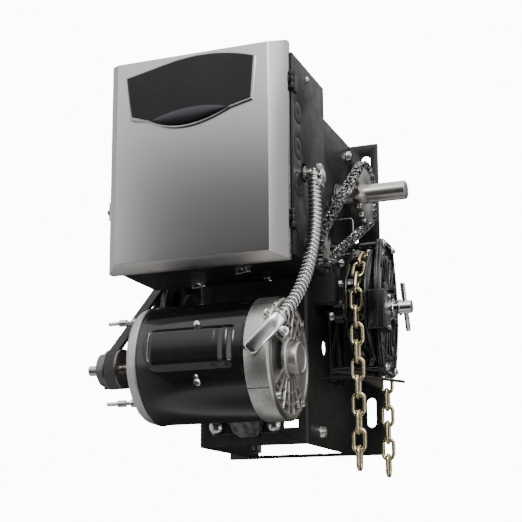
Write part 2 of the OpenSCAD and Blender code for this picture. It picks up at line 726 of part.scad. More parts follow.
module output_sprocket() color([0.30, 0.29, 0.28]) {
    at_output(drive_x - sprocket_t / 2) sprocket(out_teeth, out_r, seat_d, drive_turn + 180, out_r * 0.17);
    at_output(drive_x + sprocket_t / 2) difference() {
        cylinder(h = hub_l, d = hub_d);
        translate([0, 0, -over]) cylinder(h = hub_l + 2 * over, d = seat_d);
    }
    for (x = [out_x0 + collar_in, half_w - sheet_t - collar_w - gap]) shaft_collar(x);
}
collar_in = 17.6;
module shaft_collar(x) at_output(x) difference() {
    cylinder(h = collar_w, d = collar_d);
    translate([0, 0, -over]) cylinder(h = collar_w + 2 * over, d = seat_d);
    translate([0, 0, collar_w / 2]) rotate([90, 0, 0]) cylinder(h = collar_d, d = lug_screw_d);
}

limit_hub_l = 10;
module limit_sprocket() color([0.74, 0.72, 0.68]) {
    at_output(limit_x - sprocket_t / 2) sprocket(limit_teeth, limit_r, seat_d, limit_turn + 180, 0);
    at_output(limit_x - sprocket_t / 2 - limit_hub_l) difference() {
        cylinder(h = limit_hub_l, d = hub_d * 0.9);
        translate([0, 0, -over]) cylinder(h = limit_hub_l + 2 * over, d = seat_d);
    }
}

// Flanged shaft bearings on the frame walls
bearing_flange_d = 68;
bearing_flange_t = 3;
bearing_boss_d = 31;
bearing_boss_l = 13;
spigot_air = 0.3;
module flange_bearing(s, lift, y, z, d) across(s * (half_w + lift), y, z) mirror([0, 0, s < 0 ? 1 : 0])
    difference() {
        union() {
            linear_extrude(bearing_flange_t) {
                circle(d = bearing_boss_d + 2 * bearing_flange_t);
                rotate(bearing_bolt_turn) stadium(bearing_flange_d, bearing_boss_d * 0.62);
            }
            cylinder(h = bearing_boss_l, d = bearing_boss_d);
            translate([0, 0, -sheet_t]) cylinder(h = sheet_t + over, d = bearing_hole_d - 2 * spigot_air);
        }
        translate([0, 0, -sheet_t - over])
            cylinder(h = bearing_boss_l + sheet_t + 2 * over, d = d + 2 * fit);
    }
module shaft_bearings() color([0.44, 0.43, 0.42]) {
    for (s = [-1, 1]) flange_bearing(s, 0, -out_y, out_z, seat_d);
    flange_bearing(-1, 0, clutch_y, clutch_z, clutch_d);
}

// V-belt and its two pulleys
belt_v = 20;
belt_air = 0.35;
rim_w = 19;
belt_vec = [clutch_y + motor_y, clutch_z - motor_z];
belt_span = norm(belt_vec);
belt_turn = atan2(belt_vec.y, belt_vec.x);
belt_lean = lean(belt_r1, belt_r2, belt_span);
// The belt section, its back at x = r
module belt_section(r, air) polygon([[r + air, -belt_w / 2 - air], [r + air, belt_w / 2 + air],
    [r - belt_t - air, belt_w / 2 + air - (belt_t + 2 * air) * tan(belt_v)],
    [r - belt_t - air, -belt_w / 2 - air + (belt_t + 2 * air) * tan(belt_v)]]);
module belt_arc(r, from, sweep) rotate([0, 0, from]) rotate_extrude(angle = sweep) belt_section(r, 0);
module v_belt() color([0.10, 0.10, 0.10]) at_motor(-belt_x) rotate([0, 0, belt_turn]) {
    belt_arc(belt_r1, 90 - belt_lean, 180 + 2 * belt_lean);
    translate([belt_span, 0, 0]) belt_arc(belt_r2, -90 + belt_lean, 180 - 2 * belt_lean);
    for (s = [0, 1]) mirror([0, s, 0]) rotate([0, 0, -belt_lean]) translate([-fit, 0, 0])
        rotate([90, 0, 90])
        linear_extrude(belt_span * cos(belt_lean) + 2 * fit) belt_section(belt_r1, 0);
}
module pulley_rim(r, bore) difference() {
    translate([0, 0, -rim_w / 2]) cylinder(h = rim_w, r = r);
    rotate_extrude() union() {
        belt_section(r, belt_air);
        translate([r, -belt_w / 2 - belt_air]) square([over, belt_w + 2 * belt_air]);
    }
    translate([0, 0, -rim_w / 2 - over]) cylinder(h = rim_w + 2 * over, d = bore);
}

pulley_hub_d = 40;
pulley_hub_l = 10;
pulley_screw_d = 7;
module motor_pulley() {
    color([0.13, 0.13, 0.13]) at_motor(-belt_x) pulley_rim(belt_r1, motor_shaft_d);
    color([0.60, 0.59, 0.57]) at_motor(-belt_x - rim_w / 2 - pulley_hub_l) difference() {
        cylinder(h = pulley_hub_l, d = pulley_hub_d);
        translate([0, 0, -over]) cylinder(h = pulley_hub_l + 2 * over, d = motor_shaft_d);
    }
    color([0.30, 0.30, 0.30]) translate([-belt_x - rim_w / 2 - pulley_hub_l / 2, -motor_y,
        motor_z - pulley_hub_d / 2])
        rotate([180, 0, 0]) cylinder(h = pulley_screw_d / 2, d = pulley_screw_d);
}

web_t = 5;
spoke_hole_r = 15;
drive_hub_d = 38;
module drive_pulley() color([0.16, 0.16, 0.16]) at_clutch(-belt_x) difference() {
    pulley_rim(belt_r2, clutch_d);
    for (s = [-1, 1]) translate([0, 0, s * (rim_w + web_t) / 2]) difference() {
        cylinder(h = rim_w, r = belt_r2 - 2 * belt_t, center = true);
        cylinder(h = 2 * rim_w, d = drive_hub_d, center = true);
    }
    for (i = [0:4]) rotate([0, 0, i * 72])
        translate([(belt_r2 - 2 * belt_t + drive_hub_d / 2) / 2, 0, -rim_w])
        cylinder(h = 2 * rim_w, r = spoke_hole_r * 0.8);
}

// Friction clutch on the clutch shaft's left end
disc_r = 40;
disc_t = 3;
plate_l = 6;
clutch_x0 = -181;
spring_r = 15.5;
spring_l = 3;
spring_rim = 4;
spring_turns = 3;
nut_flats = 34;
nut_h = 11;
inner_x = -belt_x + rim_w / 2;
outer_x = -belt_x - rim_w / 2;
module clutch_disc(x, r, h) at_clutch(x) difference() {
    cylinder(h = h, r = r);
    translate([0, 0, -over]) cylinder(h = h + 2 * over, d = clutch_d);
}
module clutch_plates() {
    color([0.35, 0.25, 0.17]) clutch_disc(inner_x, disc_r, disc_t);
    color([0.45, 0.44, 0.42]) {
        clutch_disc(inner_x + disc_t, disc_r, plate_l);
        clutch_disc(inner_x + disc_t + plate_l, drive_hub_d / 2,
            -half_w - bearing_boss_l - inner_x - disc_t - plate_l - over);
        clutch_disc(outer_x - disc_t, spring_r + spring_rim, disc_t);
    }
}
spring_x = outer_x - disc_t;
spring_cone_share = 0.72;
// Cup springs stacked rim to rim and bore to bore
module clutch_spring() color([0.60, 0.58, 0.55]) at_clutch(spring_x) mirror([0, 0, 1]) difference() {
    for (i = [0:spring_turns - 1]) translate([0, 0, i * spring_l]) cylinder(h = spring_l,
        r1 = spring_r * (i % 2 == 0 ? 1 : spring_cone_share),
            r2 = spring_r * (i % 2 == 0 ? spring_cone_share : 1));
    translate([0, 0, -over]) cylinder(h = spring_turns * spring_l + 2 * over, d = clutch_d);
}
module clutch_nut() color([0.62, 0.61, 0.58]) at_clutch(spring_x - spring_turns * spring_l - nut_h)
    difference() {
        hex_head(nut_flats, nut_h);
        translate([0, 0, -over]) cylinder(h = nut_h + 2 * over, d = clutch_d);
        for (i = [0:2]) rotate([0, 0, i * 60 + 30]) translate([-nut_flats, -nut_h * 0.2, -over])
            cube([2 * nut_flats, nut_h * 0.4, nut_h * 0.4]);
    }

stub_d = 12;
stub_x = 152;
stub_end = 177;
module clutch_shaft() color([0.66, 0.65, 0.62]) {
    at_clutch(clutch_x0) cylinder(h = stub_x - clutch_x0, d = clutch_d);
    at_clutch(stub_x) cylinder(h = stub_end - stub_x, d = stub_d);
}
module drive_sprocket() color([0.30, 0.29, 0.28]) {
    at_clutch(drive_x - sprocket_t / 2) sprocket(clutch_teeth, clutch_r, clutch_d, drive_turn, 0);
    at_clutch(drive_x + sprocket_t / 2) difference() {
        cylinder(h = hub_l, d = clutch_d * 1.4);
        translate([0, 0, -over]) cylinder(h = hub_l + 2 * over, d = clutch_d);
    }
}

// End collar, spring cup and tommy bar on the right end of the clutch shaft
end_collar_d = 17;
end_collar_x = 163.5;
cup_d = 24;
cup_t = 2;
cup_x = 153;
bar_d = 6.6;
bar_l = 64;
bar_x = 169.5;
bar_lean = 25;
module t_bar() {
    color([0.74, 0.72, 0.69]) {
        for (x = [cup_x, end_collar_x - cup_t]) at_clutch(x) difference() {
            cylinder(h = cup_t, d = x == cup_x ? cup_d : cup_d * 0.9);
            translate([0, 0, -over]) cylinder(h = cup_t + 2 * over, d = stub_d);
        }
        at_clutch(cup_x + cup_t) difference() {
            cylinder(h = end_collar_x - 2 * cup_t - cup_x, d = end_collar_d);
            translate([0, 0, -over]) cylinder(h = end_collar_x - cup_x, d = stub_d);
        }
        difference() {
            at_clutch(end_collar_x) cylinder(h = stub_end + over - end_collar_x, d = end_collar_d);
            at_clutch(end_collar_x - over) cylinder(h = stub_end + over - end_collar_x, d = stub_d);
            t_bar_place() cylinder(h = bar_l + 2 * over, d = bar_d, center = true);
        }
        difference() {
            t_bar_place() cylinder(h = bar_l, d = bar_d, center = true);
            at_clutch(end_collar_x - over) cylinder(h = stub_end + over - end_collar_x, d = stub_d);
        }
    }
}
module t_bar_place() translate([bar_x, clutch_y, clutch_z]) rotate([bar_lean, 0, 0]) children();

// Motor: shell, end bells, bearing cap and the through bolts that hold them together
bell_rim = 1.5;
bell_r = motor_r + bell_rim;
bell_step = 9;
bell_t = 4;
vent_r = [30, 44, 47, 60];
vent_sweep = 40;
window_a = 37;
rib_a = 18;
rib_gap_a = 1.6;
boss_r = 26;
cap_r = 19.5;
cap_l = 14;
module ring(h, r1, r2) difference() {
    cylinder(h = h, r = r2);
    translate([0, 0, -over]) cylinder(h = h + 2 * over, r = r1);
}
module vent(r1, r2, from, sweep, z, h) rotate([0, 0, from]) translate([0, 0, z])
    rotate_extrude(angle = sweep) translate([r1, 0]) square([r2 - r1, h]);
module motor_shell() color([0.05, 0.05, 0.05]) at_motor(motor_x - motor_l)
    ring(motor_l, motor_r - shell_t, motor_r);
module bell_right() color([0.62, 0.60, 0.57]) at_motor(motor_x) difference() {
    union() {
        ring(bell_l - bell_step, motor_r - bell_t, bell_r);
        translate([0, 0, bell_l - bell_step]) cylinder(h = bell_step, r1 = bell_r, r2 = bell_r - bell_step);
        translate([0, 0, bell_l / 2]) cylinder(h = bell_l / 2, r = boss_r);
    }
    translate([0, 0, bell_l - bell_step - over])
        ring(bell_step + over - bell_t, boss_r, bell_r - bell_step - bell_t);
    vent(vent_r[0], vent_r[3], 180 - window_a, 2 * window_a, bell_l - 2 * bell_t, 3 * bell_t);
    for (c = [90, 270], k = [-2:2], i = [0, 1])
        vent(vent_r[2 * i], vent_r[2 * i + 1], c + (k - 0.5) * rib_a + rib_gap_a,
        rib_a - 2 * rib_gap_a, bell_l - 2 * bell_t, 3 * bell_t);
    for (i = [-1, 1], j = [-1, 1]) translate([i * bolt_y, j * bolt_z, -over])
        cylinder(h = bell_l + 2 * over, d = stud_d + 2 * fit);
    translate([0, 0, -over]) cylinder(h = bell_l + 2 * over, d = motor_shaft_d + 2 * fit);
}
bell_hub_r = 22;
bell_hub_l = 8;
module bell_left() color([0.62, 0.60, 0.57]) at_motor(motor_x - motor_l - bell_left_l) difference() {
    union() {
        cylinder(h = bell_left_l, r1 = bell_r - bell_step / 2, r2 = bell_r);
        translate([0, 0, -bell_hub_l]) cylinder(h = bell_hub_l, r = bell_hub_r);
    }
    translate([0, 0, bell_t]) ring(bell_left_l, boss_r, motor_r - bell_t);
    for (a = [0:3]) vent(vent_r[0], vent_r[3] - bell_step, 45 + a * 90 - vent_sweep, 2 * vent_sweep, -over,
        3 * bell_t);
    for (i = [-1, 1], j = [-1, 1]) translate([i * bolt_y, j * bolt_z, -over])
        cylinder(h = bell_left_l + 2 * over, d = stud_d + 2 * fit);
    translate([0, 0, -bell_hub_l - over])
        cylinder(h = bell_left_l + bell_hub_l + 2 * over, d = motor_shaft_d + 2 * fit);
}
module bearing_cap() color([0.50, 0.49, 0.47]) at_motor(motor_x + bell_l) difference() {
    cylinder(h = cap_l, r = cap_r);
    translate([0, 0, -over]) cylinder(h = cap_l + over - bell_t, d = motor_shaft_d * 1.4);
}
bolt_y = 41;
bolt_z = 48;
stud_d = 4.8;
stud_end = -136;
module through_bolts() color([0.75, 0.74, 0.71]) for (i = [-1, 1], j = [-1, 1]) {
    y = -motor_y + i * bolt_y;
    z = motor_z + j * bolt_z;
    bar_x(stud_end, motor_x + bell_l, y, z, stud_d);
    across(motor_x + bell_l, y, z) bolt_head(stud_d);
    across(motor_x - motor_l - bell_left_l - stud_d, y, z) hex_head(stud_d * 2, stud_d);
    across(stud_end + 3 * stud_d, y, z) hex_head(stud_d * 1.6, stud_d * 2);
}

rotor_r = 34;
rotor_x = [-56, 14];
winding_l = 14;
air_gap = 0.7;
module stator() {
    color([0.42, 0.42, 0.44]) at_motor(rotor_x[0]) difference() {
        ring(rotor_x[1] - rotor_x[0], rotor_r + air_gap, motor_r - shell_t);
        for (i = [-1, 1], j = [-1, 1]) translate([i * bolt_y, j * bolt_z, -over])
            cylinder(h = rotor_x[1] - rotor_x[0] + 2 * over, d = stud_d * 2);
    }
    color([0.70, 0.40, 0.16]) for (x = [rotor_x[0] - winding_l, rotor_x[1]])
        at_motor(x) ring(winding_l, rotor_r + 2 * air_gap, rotor_r + winding_l);
}
module rotor_core() color([0.55, 0.55, 0.56]) at_motor(rotor_x[0]) difference() {
    union() {
        cylinder(h = rotor_x[1] - rotor_x[0], r = rotor_r);
        translate([0, 0, -bell_t]) cylinder(h = rotor_x[1] - rotor_x[0] + 2 * bell_t, r = rotor_r * 0.85);
    }
    translate([0, 0, -2 * bell_t]) cylinder(h = rotor_x[1] - rotor_x[0] + 4 * bell_t, d = motor_shaft_d);
}
motor_shaft_x = [-182.5, 86];
module motor_shaft() color([0.70, 0.69, 0.66]) at_motor(motor_shaft_x[0])
    cylinder(h = motor_shaft_x[1] - motor_shaft_x[0], d = motor_shaft_d);
fan_x = 42;
fan_r = 56;
fan_blades = 9;
fan_t = 2;
fan_l = 10;
module motor_fan() color([0.10, 0.10, 0.10]) at_motor(fan_x) difference() {
    union() {
        cylinder(h = fan_t, r = fan_r);
        cylinder(h = fan_l, r = motor_shaft_d);
        for (i = [0:fan_blades - 1]) rotate([0, 0, i * 360 / fan_blades])
            translate([motor_shaft_d * 0.7, -fan_t / 2, fan_t / 2])
                cube([fan_r * 0.97 - motor_shaft_d * 0.7, fan_t, fan_l * 0.9]);
    }
    translate([0, 0, -over]) cylinder(h = 2 * fan_l, d = motor_shaft_d);
}

// Capacitor cover on the front of the shell
cover_a = [-20, 28];
cap_x = [-80, 40];
cap_bulge = 8;
cap_skirt = 1.6;
cap_screw_x = -12;
cap_screw_a = [-25, 31];
module capacitor_cover() color([0.05, 0.05, 0.05]) {
    at_motor(cap_x[0]) difference() {
        union() {
            vent(motor_r, motor_r + cap_skirt, 180 - cover_a[1], cover_a[1] - cover_a[0], 0,
                cap_x[1] - cap_x[0]);
            vent(motor_r, motor_r + cap_bulge, 180 - cover_a[1] + 2, cover_a[1] - cover_a[0] - 12,
                bell_t, cap_x[1] - cap_x[0] - 2 * bell_t);
        }
        vent(motor_r - over, motor_r + cap_bulge - cap_skirt, 180 - cover_a[1] + 4,
            cover_a[1] - cover_a[0] - 16, 2 * bell_t, cap_x[1] - cap_x[0] - 4 * bell_t);
    }
    color([0.78, 0.77, 0.74]) for (a = cap_screw_a) at_motor(cap_screw_x) rotate([0, 0, 180 - a])
        translate([motor_r + fit, 0, 0]) rotate([0, 90, 0]) button_head(side_screw_d);
}
module run_capacitor() color([0.62, 0.62, 0.64]) at_motor(cap_x[0] + 3 * bell_t) difference() {
    vent(motor_r + 1.5 * fit, motor_r + cap_bulge - cap_skirt - gap, 180 - cover_a[1] + 7,
        cover_a[1] - cover_a[0] - 22, 0, (cap_x[1] - cap_x[0]) * 0.7);
}

// Motor base on the web of the frame
base_x = [-55, 37];
base_h = [14, 134];
base_t = 3;
pad_x = [-38, 20];
pad_rise = 24;
module motor_base() color([0.07, 0.07, 0.08]) difference() {
    union() {
        translate([(base_x[0] + base_x[1]) / 2, web_y, base_z + (base_h[0] + base_h[1]) / 2])
            rotate([90, 0, 0])
            linear_extrude(base_t) round_rect([base_x[1] - base_x[0], base_h[1] - base_h[0]], 2 * bend_r);
        block([pad_x[0], -motor_y, base_z + base_h[0] + pad_rise / 2],
            [pad_x[1], web_y, base_z + base_h[1] - pad_rise]);
    }
    block([pad_x[0] + base_t, -motor_y, base_z],
        [pad_x[1] - base_t, web_y - base_t, base_z + base_h[1] - pad_rise - base_t]);
    at_motor(pad_x[0] - over) cylinder(h = pad_x[1] - pad_x[0] + 2 * over, r = motor_r);
    for (i = [-1, 1], j = [0, 1])
        bar_y(-motor_hole_x + i * motor_hole_gap / 2, web_y - 2 * base_t, web_y + over,
            base_z + motor_hole_h + j * motor_hole_rise, carriage_d + hole_air);
}
module carriage_bolts() color([0.80, 0.79, 0.76]) for (i = [-1, 1], j = [0, 1]) {
    x = -motor_hole_x + i * motor_hole_gap / 2;
    z = base_z + motor_hole_h + j * motor_hole_rise;
    translate([x, web_y - base_t, z]) rotate([90, 0, 0]) button_head(carriage_d);
    bar_y(x, web_y - base_t, web_y + 4 * sheet_t, z, carriage_d);
    translate([x, web_y + sheet_t, z]) rotate([-90, 0, 0]) hex_head(carriage_d * 1.5, carriage_d * 0.8);
}

// Flexible conduit, ribbed along its real route from the box fitting to the motor fitting
conduit_sides = 8;
conduit_root_share = 0.86;
conduit_route = [[110, -286, 310], [110, -286, 296], [111, -288, 277], [112, -290, 261], [112, -293, 246],
    [112, -297, 231], [111, -302, 216], [110, -307, 202], [108, -312, 188], [105, -319, 173],
        [101, -327, 158],
    [97, -334, 147], [93, -340, 137], [86, -345, 128]];
function on_route(t) = let (n = len(conduit_route) - 1, i = min(n - 1, floor(t * n)), u = t * n - i,
        p1 = conduit_route[i], p2 = conduit_route[i + 1], p0 = i > 0 ? conduit_route[i - 1] : 2 * p1 - p2,
        p3 = i < n - 1 ? conduit_route[i + 2] : 2 * p2 - p1)
    [0, 0, base_z] + (2 * p1 + (p2 - p0) * u + (2 * p0 - 5 * p1 + 4 * p2 - p3) * u ^ 2
        + (3 * p1 - p0 - 3 * p2 + p3) * u ^ 3) / 2;
function unit(v) = v / norm(v);
function hose_ring(t, r) = let (d = unit(on_route(min(1, t + 0.01)) - on_route(max(0, t - 0.01))),
        u = unit(cross(d, [1, 0, 0])), v = cross(d, u))
    [for (k = [0:conduit_sides - 1])
        on_route(t) + r * (u * cos(k * 360 / conduit_sides) + v * sin(k * 360 / conduit_sides))];
module conduit() color([0.78, 0.77, 0.74]) {
    n = 2 * conduit_ribs + 1;
    m = conduit_sides;
    outer = [for (i = [0:n - 1]) each hose_ring(i / (n - 1),
        conduit_r * (i % 2 == 0 ? 1 : conduit_root_share))];
    inner = [for (i = [0:n - 1]) each hose_ring(i / (n - 1), conduit_bore)];
    walls = [for (i = [0:n - 2], k = [0:m - 1])
        let (a = i * m + k, b = i * m + (k + 1) % m) [a, b, b + m, a + m]];
    lining = [for (i = [0:n - 2], k = [0:m - 1]) let (a = (n + i) * m + k, b = (n + i) * m + (k + 1) % m)
        [b, a, a + m, b + m]];
    ends = [for (k = [0:m - 1]) let (b = (k + 1) % m, e = (n - 1) * m) each [[b, k, n * m + k, n * m + b],
        [e + k, e + b, n * m + e + b, n * m + e + k]]];
    polyhedron(points = concat(outer, inner), faces = concat(walls, lining, ends), convexity = 10);
}

fitting_r = 10.2;
fitting_drop = 13;
fitting_rise = 8;
cap_disc = [11, 3.5];
locknut_r = 15;
locknut_t = 3;
module box_connector() color([0.80, 0.79, 0.76]) {
    top = conduit_route[0];
    z = base_z + conn_h;
    difference() {
        union() {
            bar_x(box_x1 - box_t - 2 * locknut_t, top.x + fitting_r, -conn_y, z, port_d - 2 * hole_air);
            translate([top.x, -conn_y, z - fitting_drop])
                cylinder(h = fitting_drop + fitting_rise, r = fitting_r);
            translate([top.x, -conn_y, z - fitting_drop])
                cylinder(h = fitting_drop / 3, r = fitting_r + over);
        }
        translate([top.x, -conn_y, z - fitting_drop - over])
            cylinder(h = fitting_drop + over, r = conduit_r + fit);
        bar_x(box_x1 - box_t - 2 * locknut_t - over, top.x, -conn_y, z, 2 * conduit_bore);
    }
    bar_x(box_x1, box_x1 + locknut_t, -conn_y, z, 2 * locknut_r);
    bar_x(top.x + fitting_r - over, top.x + fitting_r - over + cap_disc[1], -conn_y, z, 2 * cap_disc[0]);
    across(box_x1 - box_t - locknut_t, -conn_y, z) difference() {
        hex_head(2 * locknut_r, locknut_t);
        translate([0, 0, -over]) cylinder(h = locknut_t + 2 * over, d = port_d - 2 * hole_air - over);
    }
}

clamp_end = [57, -361, 93];
clamp_r = 10.5;
clamp_ear = [9, 12, 26];
clamp_in = 3;
// Aims the local Z axis from one point at another
module aimed(a, b) translate(a) rotate([0, acos((b - a).z / norm(b - a)), atan2((b - a).y, (b - a).x)])
    children();
module motor_connector() color([0.80, 0.79, 0.76]) {
    a = clamp_end + [0, 0, base_z];
    b = conduit_route[len(conduit_route) - 1] + [0, 0, base_z];
    l = norm(b - a);
    m = l + clamp_in - clamp_ear.z / 2;
    difference() {
        aimed(a, b) {
            cylinder(h = l + clamp_in - gap, r = clamp_r);
            translate([0, 0, m]) cube([2 * clamp_r + clamp_ear.x / 2, clamp_ear.y, clamp_ear.z],
                center = true);
            for (s = [-1, 1]) translate([0, s * clamp_r * 0.4, m - s * clamp_ear.z / 4]) rotate([0, 90, 0])
                cylinder(h = 3 * clamp_r, d = clamp_ear.x * 0.7, center = true);
        }
        aimed(a, b) translate([0, 0, l - 2 * gap]) cylinder(h = clamp_in + clamp_ear.z, r = conduit_r + gap);
        aimed(a, b) translate([0, 0, -clamp_r]) cylinder(h = l + 2 * clamp_r, r = conduit_bore);
        at_motor(motor_x - over) cylinder(h = bell_l + 2 * over, r = bell_r);
    }
}

// Chain hoist: a plate on the right wall, tie rods and an outer guard that carries the shaft's end
plate_half = 29;
plate_rise = 95;
hoist_t = 5;
hoist_round = 37;
hoist_boss = [17, 12];
rod_r = 84;
rod_a = 15;
rod_d = 7;
guard_x = 139;
guard_t = 12;
module hoist_bracket() color([0.10, 0.10, 0.10]) {
    difference() {
        union() {
            at_clutch(half_w) linear_extrude(hoist_t) {
                round_rect([2 * plate_half, 2 * plate_rise], bend_r);
                circle(hoist_round);
            }
            at_clutch(half_w + hoist_t) cylinder(h = hoist_boss[1], r = hoist_boss[0]);
            at_clutch(half_w - sheet_t) cylinder(h = 2 * sheet_t, d = bearing_hole_d - 2 * spigot_air);
        }
        at_clutch(half_w - sheet_t - over)
            cylinder(h = hoist_boss[1] + hoist_t + 3 * sheet_t, d = clutch_d + 2 * fit);
    }
    for (s = [-1, 1], t = [-1, 1]) at_clutch(half_w + hoist_t) rotate([0, 0, t * 90 + s * rod_a])
        translate([rod_r, 0, 0]) cylinder(h = guard_x - half_w - hoist_t, d = rod_d);
}

guard_r = [56, 72];
guard_ear = 6.5;
guard_lug = 10;
guard_hub = 29;
guard_arms = 5;
panel_arm = [168, 132];
panel_h = [143.5, 193];
panel_out = 9;
stud_big = 7.5;
stud_y = 110;
stud_h = [160, 202];
stud_out = [150, 158];
module chain_guard() color([0.06, 0.06, 0.06]) {
    difference() {
        union() {
            at_clutch(guard_x) {
                ring(guard_t, guard_r[0], guard_r[1]);
                ring(guard_t / 2, guard_r[0] - 2 * guard_ear, guard_r[0] + over);
                cylinder(h = guard_t, r = guard_hub);
                for (i = [0:guard_arms - 1]) rotate([0, 0, 90 + i * 360 / guard_arms])
                    translate([guard_hub / 2, -guard_ear, 0])
                        cube([guard_r[0] + 3 * over - guard_hub / 2, 2 * guard_ear, guard_t / 3]);
                for (s = [-1, 1], t = [-1, 1]) rotate([0, 0, t * 90 + s * rod_a]) {
                    translate([rod_r, 0, 0]) cylinder(h = guard_t, r = guard_ear);
                    translate([guard_r[0] + guard_ear, -guard_lug / 2, 0])
                        cube([rod_r - guard_r[0] - guard_ear, guard_lug, guard_t * 0.9]);
                }
            }
            block([guard_x, -panel_arm[0], base_z + panel_h[0]],
                [guard_x + guard_t + panel_out, -panel_arm[1], base_z + panel_h[1]]);
        }
        at_clutch(guard_x - over) cylinder(h = guard_t + 2 * over, d = clutch_d + 2 * fit);
    }
    for (h = stud_h) bar_x(stud_out[0], stud_out[1], -stud_y, base_z + h, stud_big);
    for (h = stud_h) across(stud_out[1], -stud_y, base_z + h) hex_head(stud_big * 1.5, stud_big * 0.7);
    for (s = [-1, 1], t = [-1, 1]) at_clutch(guard_x + guard_t) rotate([0, 0, t * 90 + s * rod_a])
        translate([rod_r, 0, 0]) hex_head(rod_d * 1.5, rod_d * 0.7);
}

// Rod that keeps the strands apart, with its separator plate
guide_d = 4;
guide_h = 87;
guide_path = [[72, -145], [124, -145], [161, -80]];
guide_plate_x = [121, 127];
guide_plate_y = [-149, -60];
guide_plate_h = [82, 93];
function unit2(p, i) = (p[i] - p[i - 1]) / norm(p[i] - p[i - 1]);
function turn_at(p, i) = let (u = unit2(p, i), v = unit2(p, i + 1)) atan2(u.x * v.y - u.y * v.x, u * v);
function bend_cut(p, i, r) = i > 0 && i < len(p) - 1 ? r * tan(abs(turn_at(p, i)) / 2) : 0;
// A round rod along flat points, bent to the radius r at each corner
module bent_rod(p, d, r) for (i = [1:len(p) - 1]) {
    u = unit2(p, i);
    cut = [bend_cut(p, i - 1, r), bend_cut(p, i, r)];
    translate(p[i - 1] + u * cut[0]) rotate([0, 0, atan2(u.y, u.x)]) rotate([0, 90, 0])
        cylinder(h = norm(p[i] - p[i - 1]) - cut[0] - cut[1], d = d);
    if (i < len(p) - 1 && r > 0) {
        side = turn_at(p, i) < 0 ? -1 : 1;
        n = side * [-u.y, u.x];
        translate(p[i] - u * cut[1] + n * r) rotate([0, 0, atan2(-n.y, -n.x)])
            mirror([0, side < 0 ? 1 : 0, 0])
            rotate_extrude(angle = abs(turn_at(p, i))) translate([r, 0]) circle(d = d);
    }
}
module chain_guide() color([0.20, 0.19, 0.18]) {
    translate([0, 0, base_z + guide_h]) bent_rod(guide_path, guide_d, 0);
    block([guide_plate_x[0], guide_plate_y[0], base_z + guide_plate_h[0]],
        [guide_plate_x[1], guide_plate_y[1], base_z + guide_plate_h[1]]);
}

// Hand chain over the upper half of its pocket wheel, then two hanging strands
pockets = 10;
hand_r = hand_pitch / (2 * tan(90 / pockets));
module hand_link() {
    r = (hand_w - hand_wire) / 2;
    half = (hand_pitch + hand_wire) / 2 - r;
    for (s = [0, 1]) rotate([0, 0, s * 180]) {
        translate([0, half, 0]) rotate_extrude(angle = 180) translate([r, 0]) circle(d = hand_wire);
        translate([r, -half, 0]) rotate([-90, 0, 0]) cylinder(h = 2 * half, d = hand_wire);
    }
}
module hand_chain() color([0.72, 0.62, 0.40]) at_clutch(hand_x) {
    for (k = [0:pockets]) rotate([0, 0, k * 180 / pockets]) translate([hand_r, 0, 0])
        rotate([0, k % 2 == 0 ? 90 : 0, 0]) hand_link();
    for (s = [-1, 1], k = [1:strand_links]) translate([s * hand_r, -k * hand_pitch, 0])
        rotate([0, k % 2 == 0 ? 90 : 0, 0]) hand_link();
}
cheek_in = 10.8;
cheek_out = 14;
cheek_r = 79;
base_share = 0.956;
groove_w = 7;
lug_half = 4.6;
lug_top = 74;
wheel_hub = [19, 24];
wheel_hole = 11;
module pocket_wheel() color([0.07, 0.07, 0.07]) at_clutch(hand_x) difference() {
    union() {
        translate([0, 0, -cheek_out]) cylinder(h = 2 * cheek_out, r = hand_r * base_share);
        for (s = [-1, 1]) translate([0, 0, s * (cheek_in + cheek_out) / 2])
            cylinder(h = cheek_out - cheek_in, r = cheek_r, center = true);
        for (i = [0:pockets - 1]) rotate([0, 0, (i + 0.5) * 360 / pockets])
            translate([0, -lug_half, -cheek_in - over])
                cube([lug_top, 2 * lug_half, 2 * (cheek_in + over)]);
        translate([0, 0, -wheel_hub[1]]) cylinder(h = wheel_hub[1], r = wheel_hub[0]);
    }
    rotate_extrude() translate([hand_r - hand_w / 2 - gap, -groove_w / 2]) square([hand_r, groove_w]);
    for (s = [-1, 1]) translate([0, 0, s * cheek_out]) ring_cut(cheek_out * 0.8);
    translate([0, 0, -wheel_hub[1] - over]) cylinder(h = 4 * wheel_hub[1], d = clutch_d + 2 * fit);
    for (i = [0:4]) rotate([0, 0, i * 72])
        translate([(hand_r * base_share - hand_w / 2 + wheel_hub[0]) / 2, 0, -2 * cheek_out])
        cylinder(h = 4 * cheek_out, r = wheel_hole);
}
module ring_cut(h) difference() {
    cylinder(h = 2 * h, r = hand_r - hand_w, center = true);
    cylinder(h = 4 * h, r = wheel_hub[0], center = true);
}

switch_box = [24, 25, 37];
switch_y = 185;
switch_h = 178;
module interlock_switch() color([0.09, 0.09, 0.09]) {
    p = [half_w, -switch_y, base_z + switch_h];
    block(p, p + [sheet_t, switch_box.y + 2 * knuckle_l, switch_box.z]);
    translate(p + [sheet_t, 0, 0]) cube([switch_box.x, switch_box.y, switch_box.z]);
    for (h = [0.2, 0.8]) across(p.x + sheet_t, p.y + switch_box.y + knuckle_l, p.z + switch_box.z * h)
        button_head(side_screw_d);
    translate(p + [sheet_t + switch_box.x / 2, switch_box.y / 2, switch_box.z])
        cylinder(h = knuckle_l, d = knuckle_l);
}

release_d = 2.6;
release_y = 85;
release_bend = 5;
release_path = [[72, 311], [98, 311], [98, 262], [77, 262]];
module release_rod() color([0.70, 0.69, 0.66]) translate([0, -release_y, base_z]) rotate([90, 0, 0])
    bent_rod(release_path, release_d, release_bend);

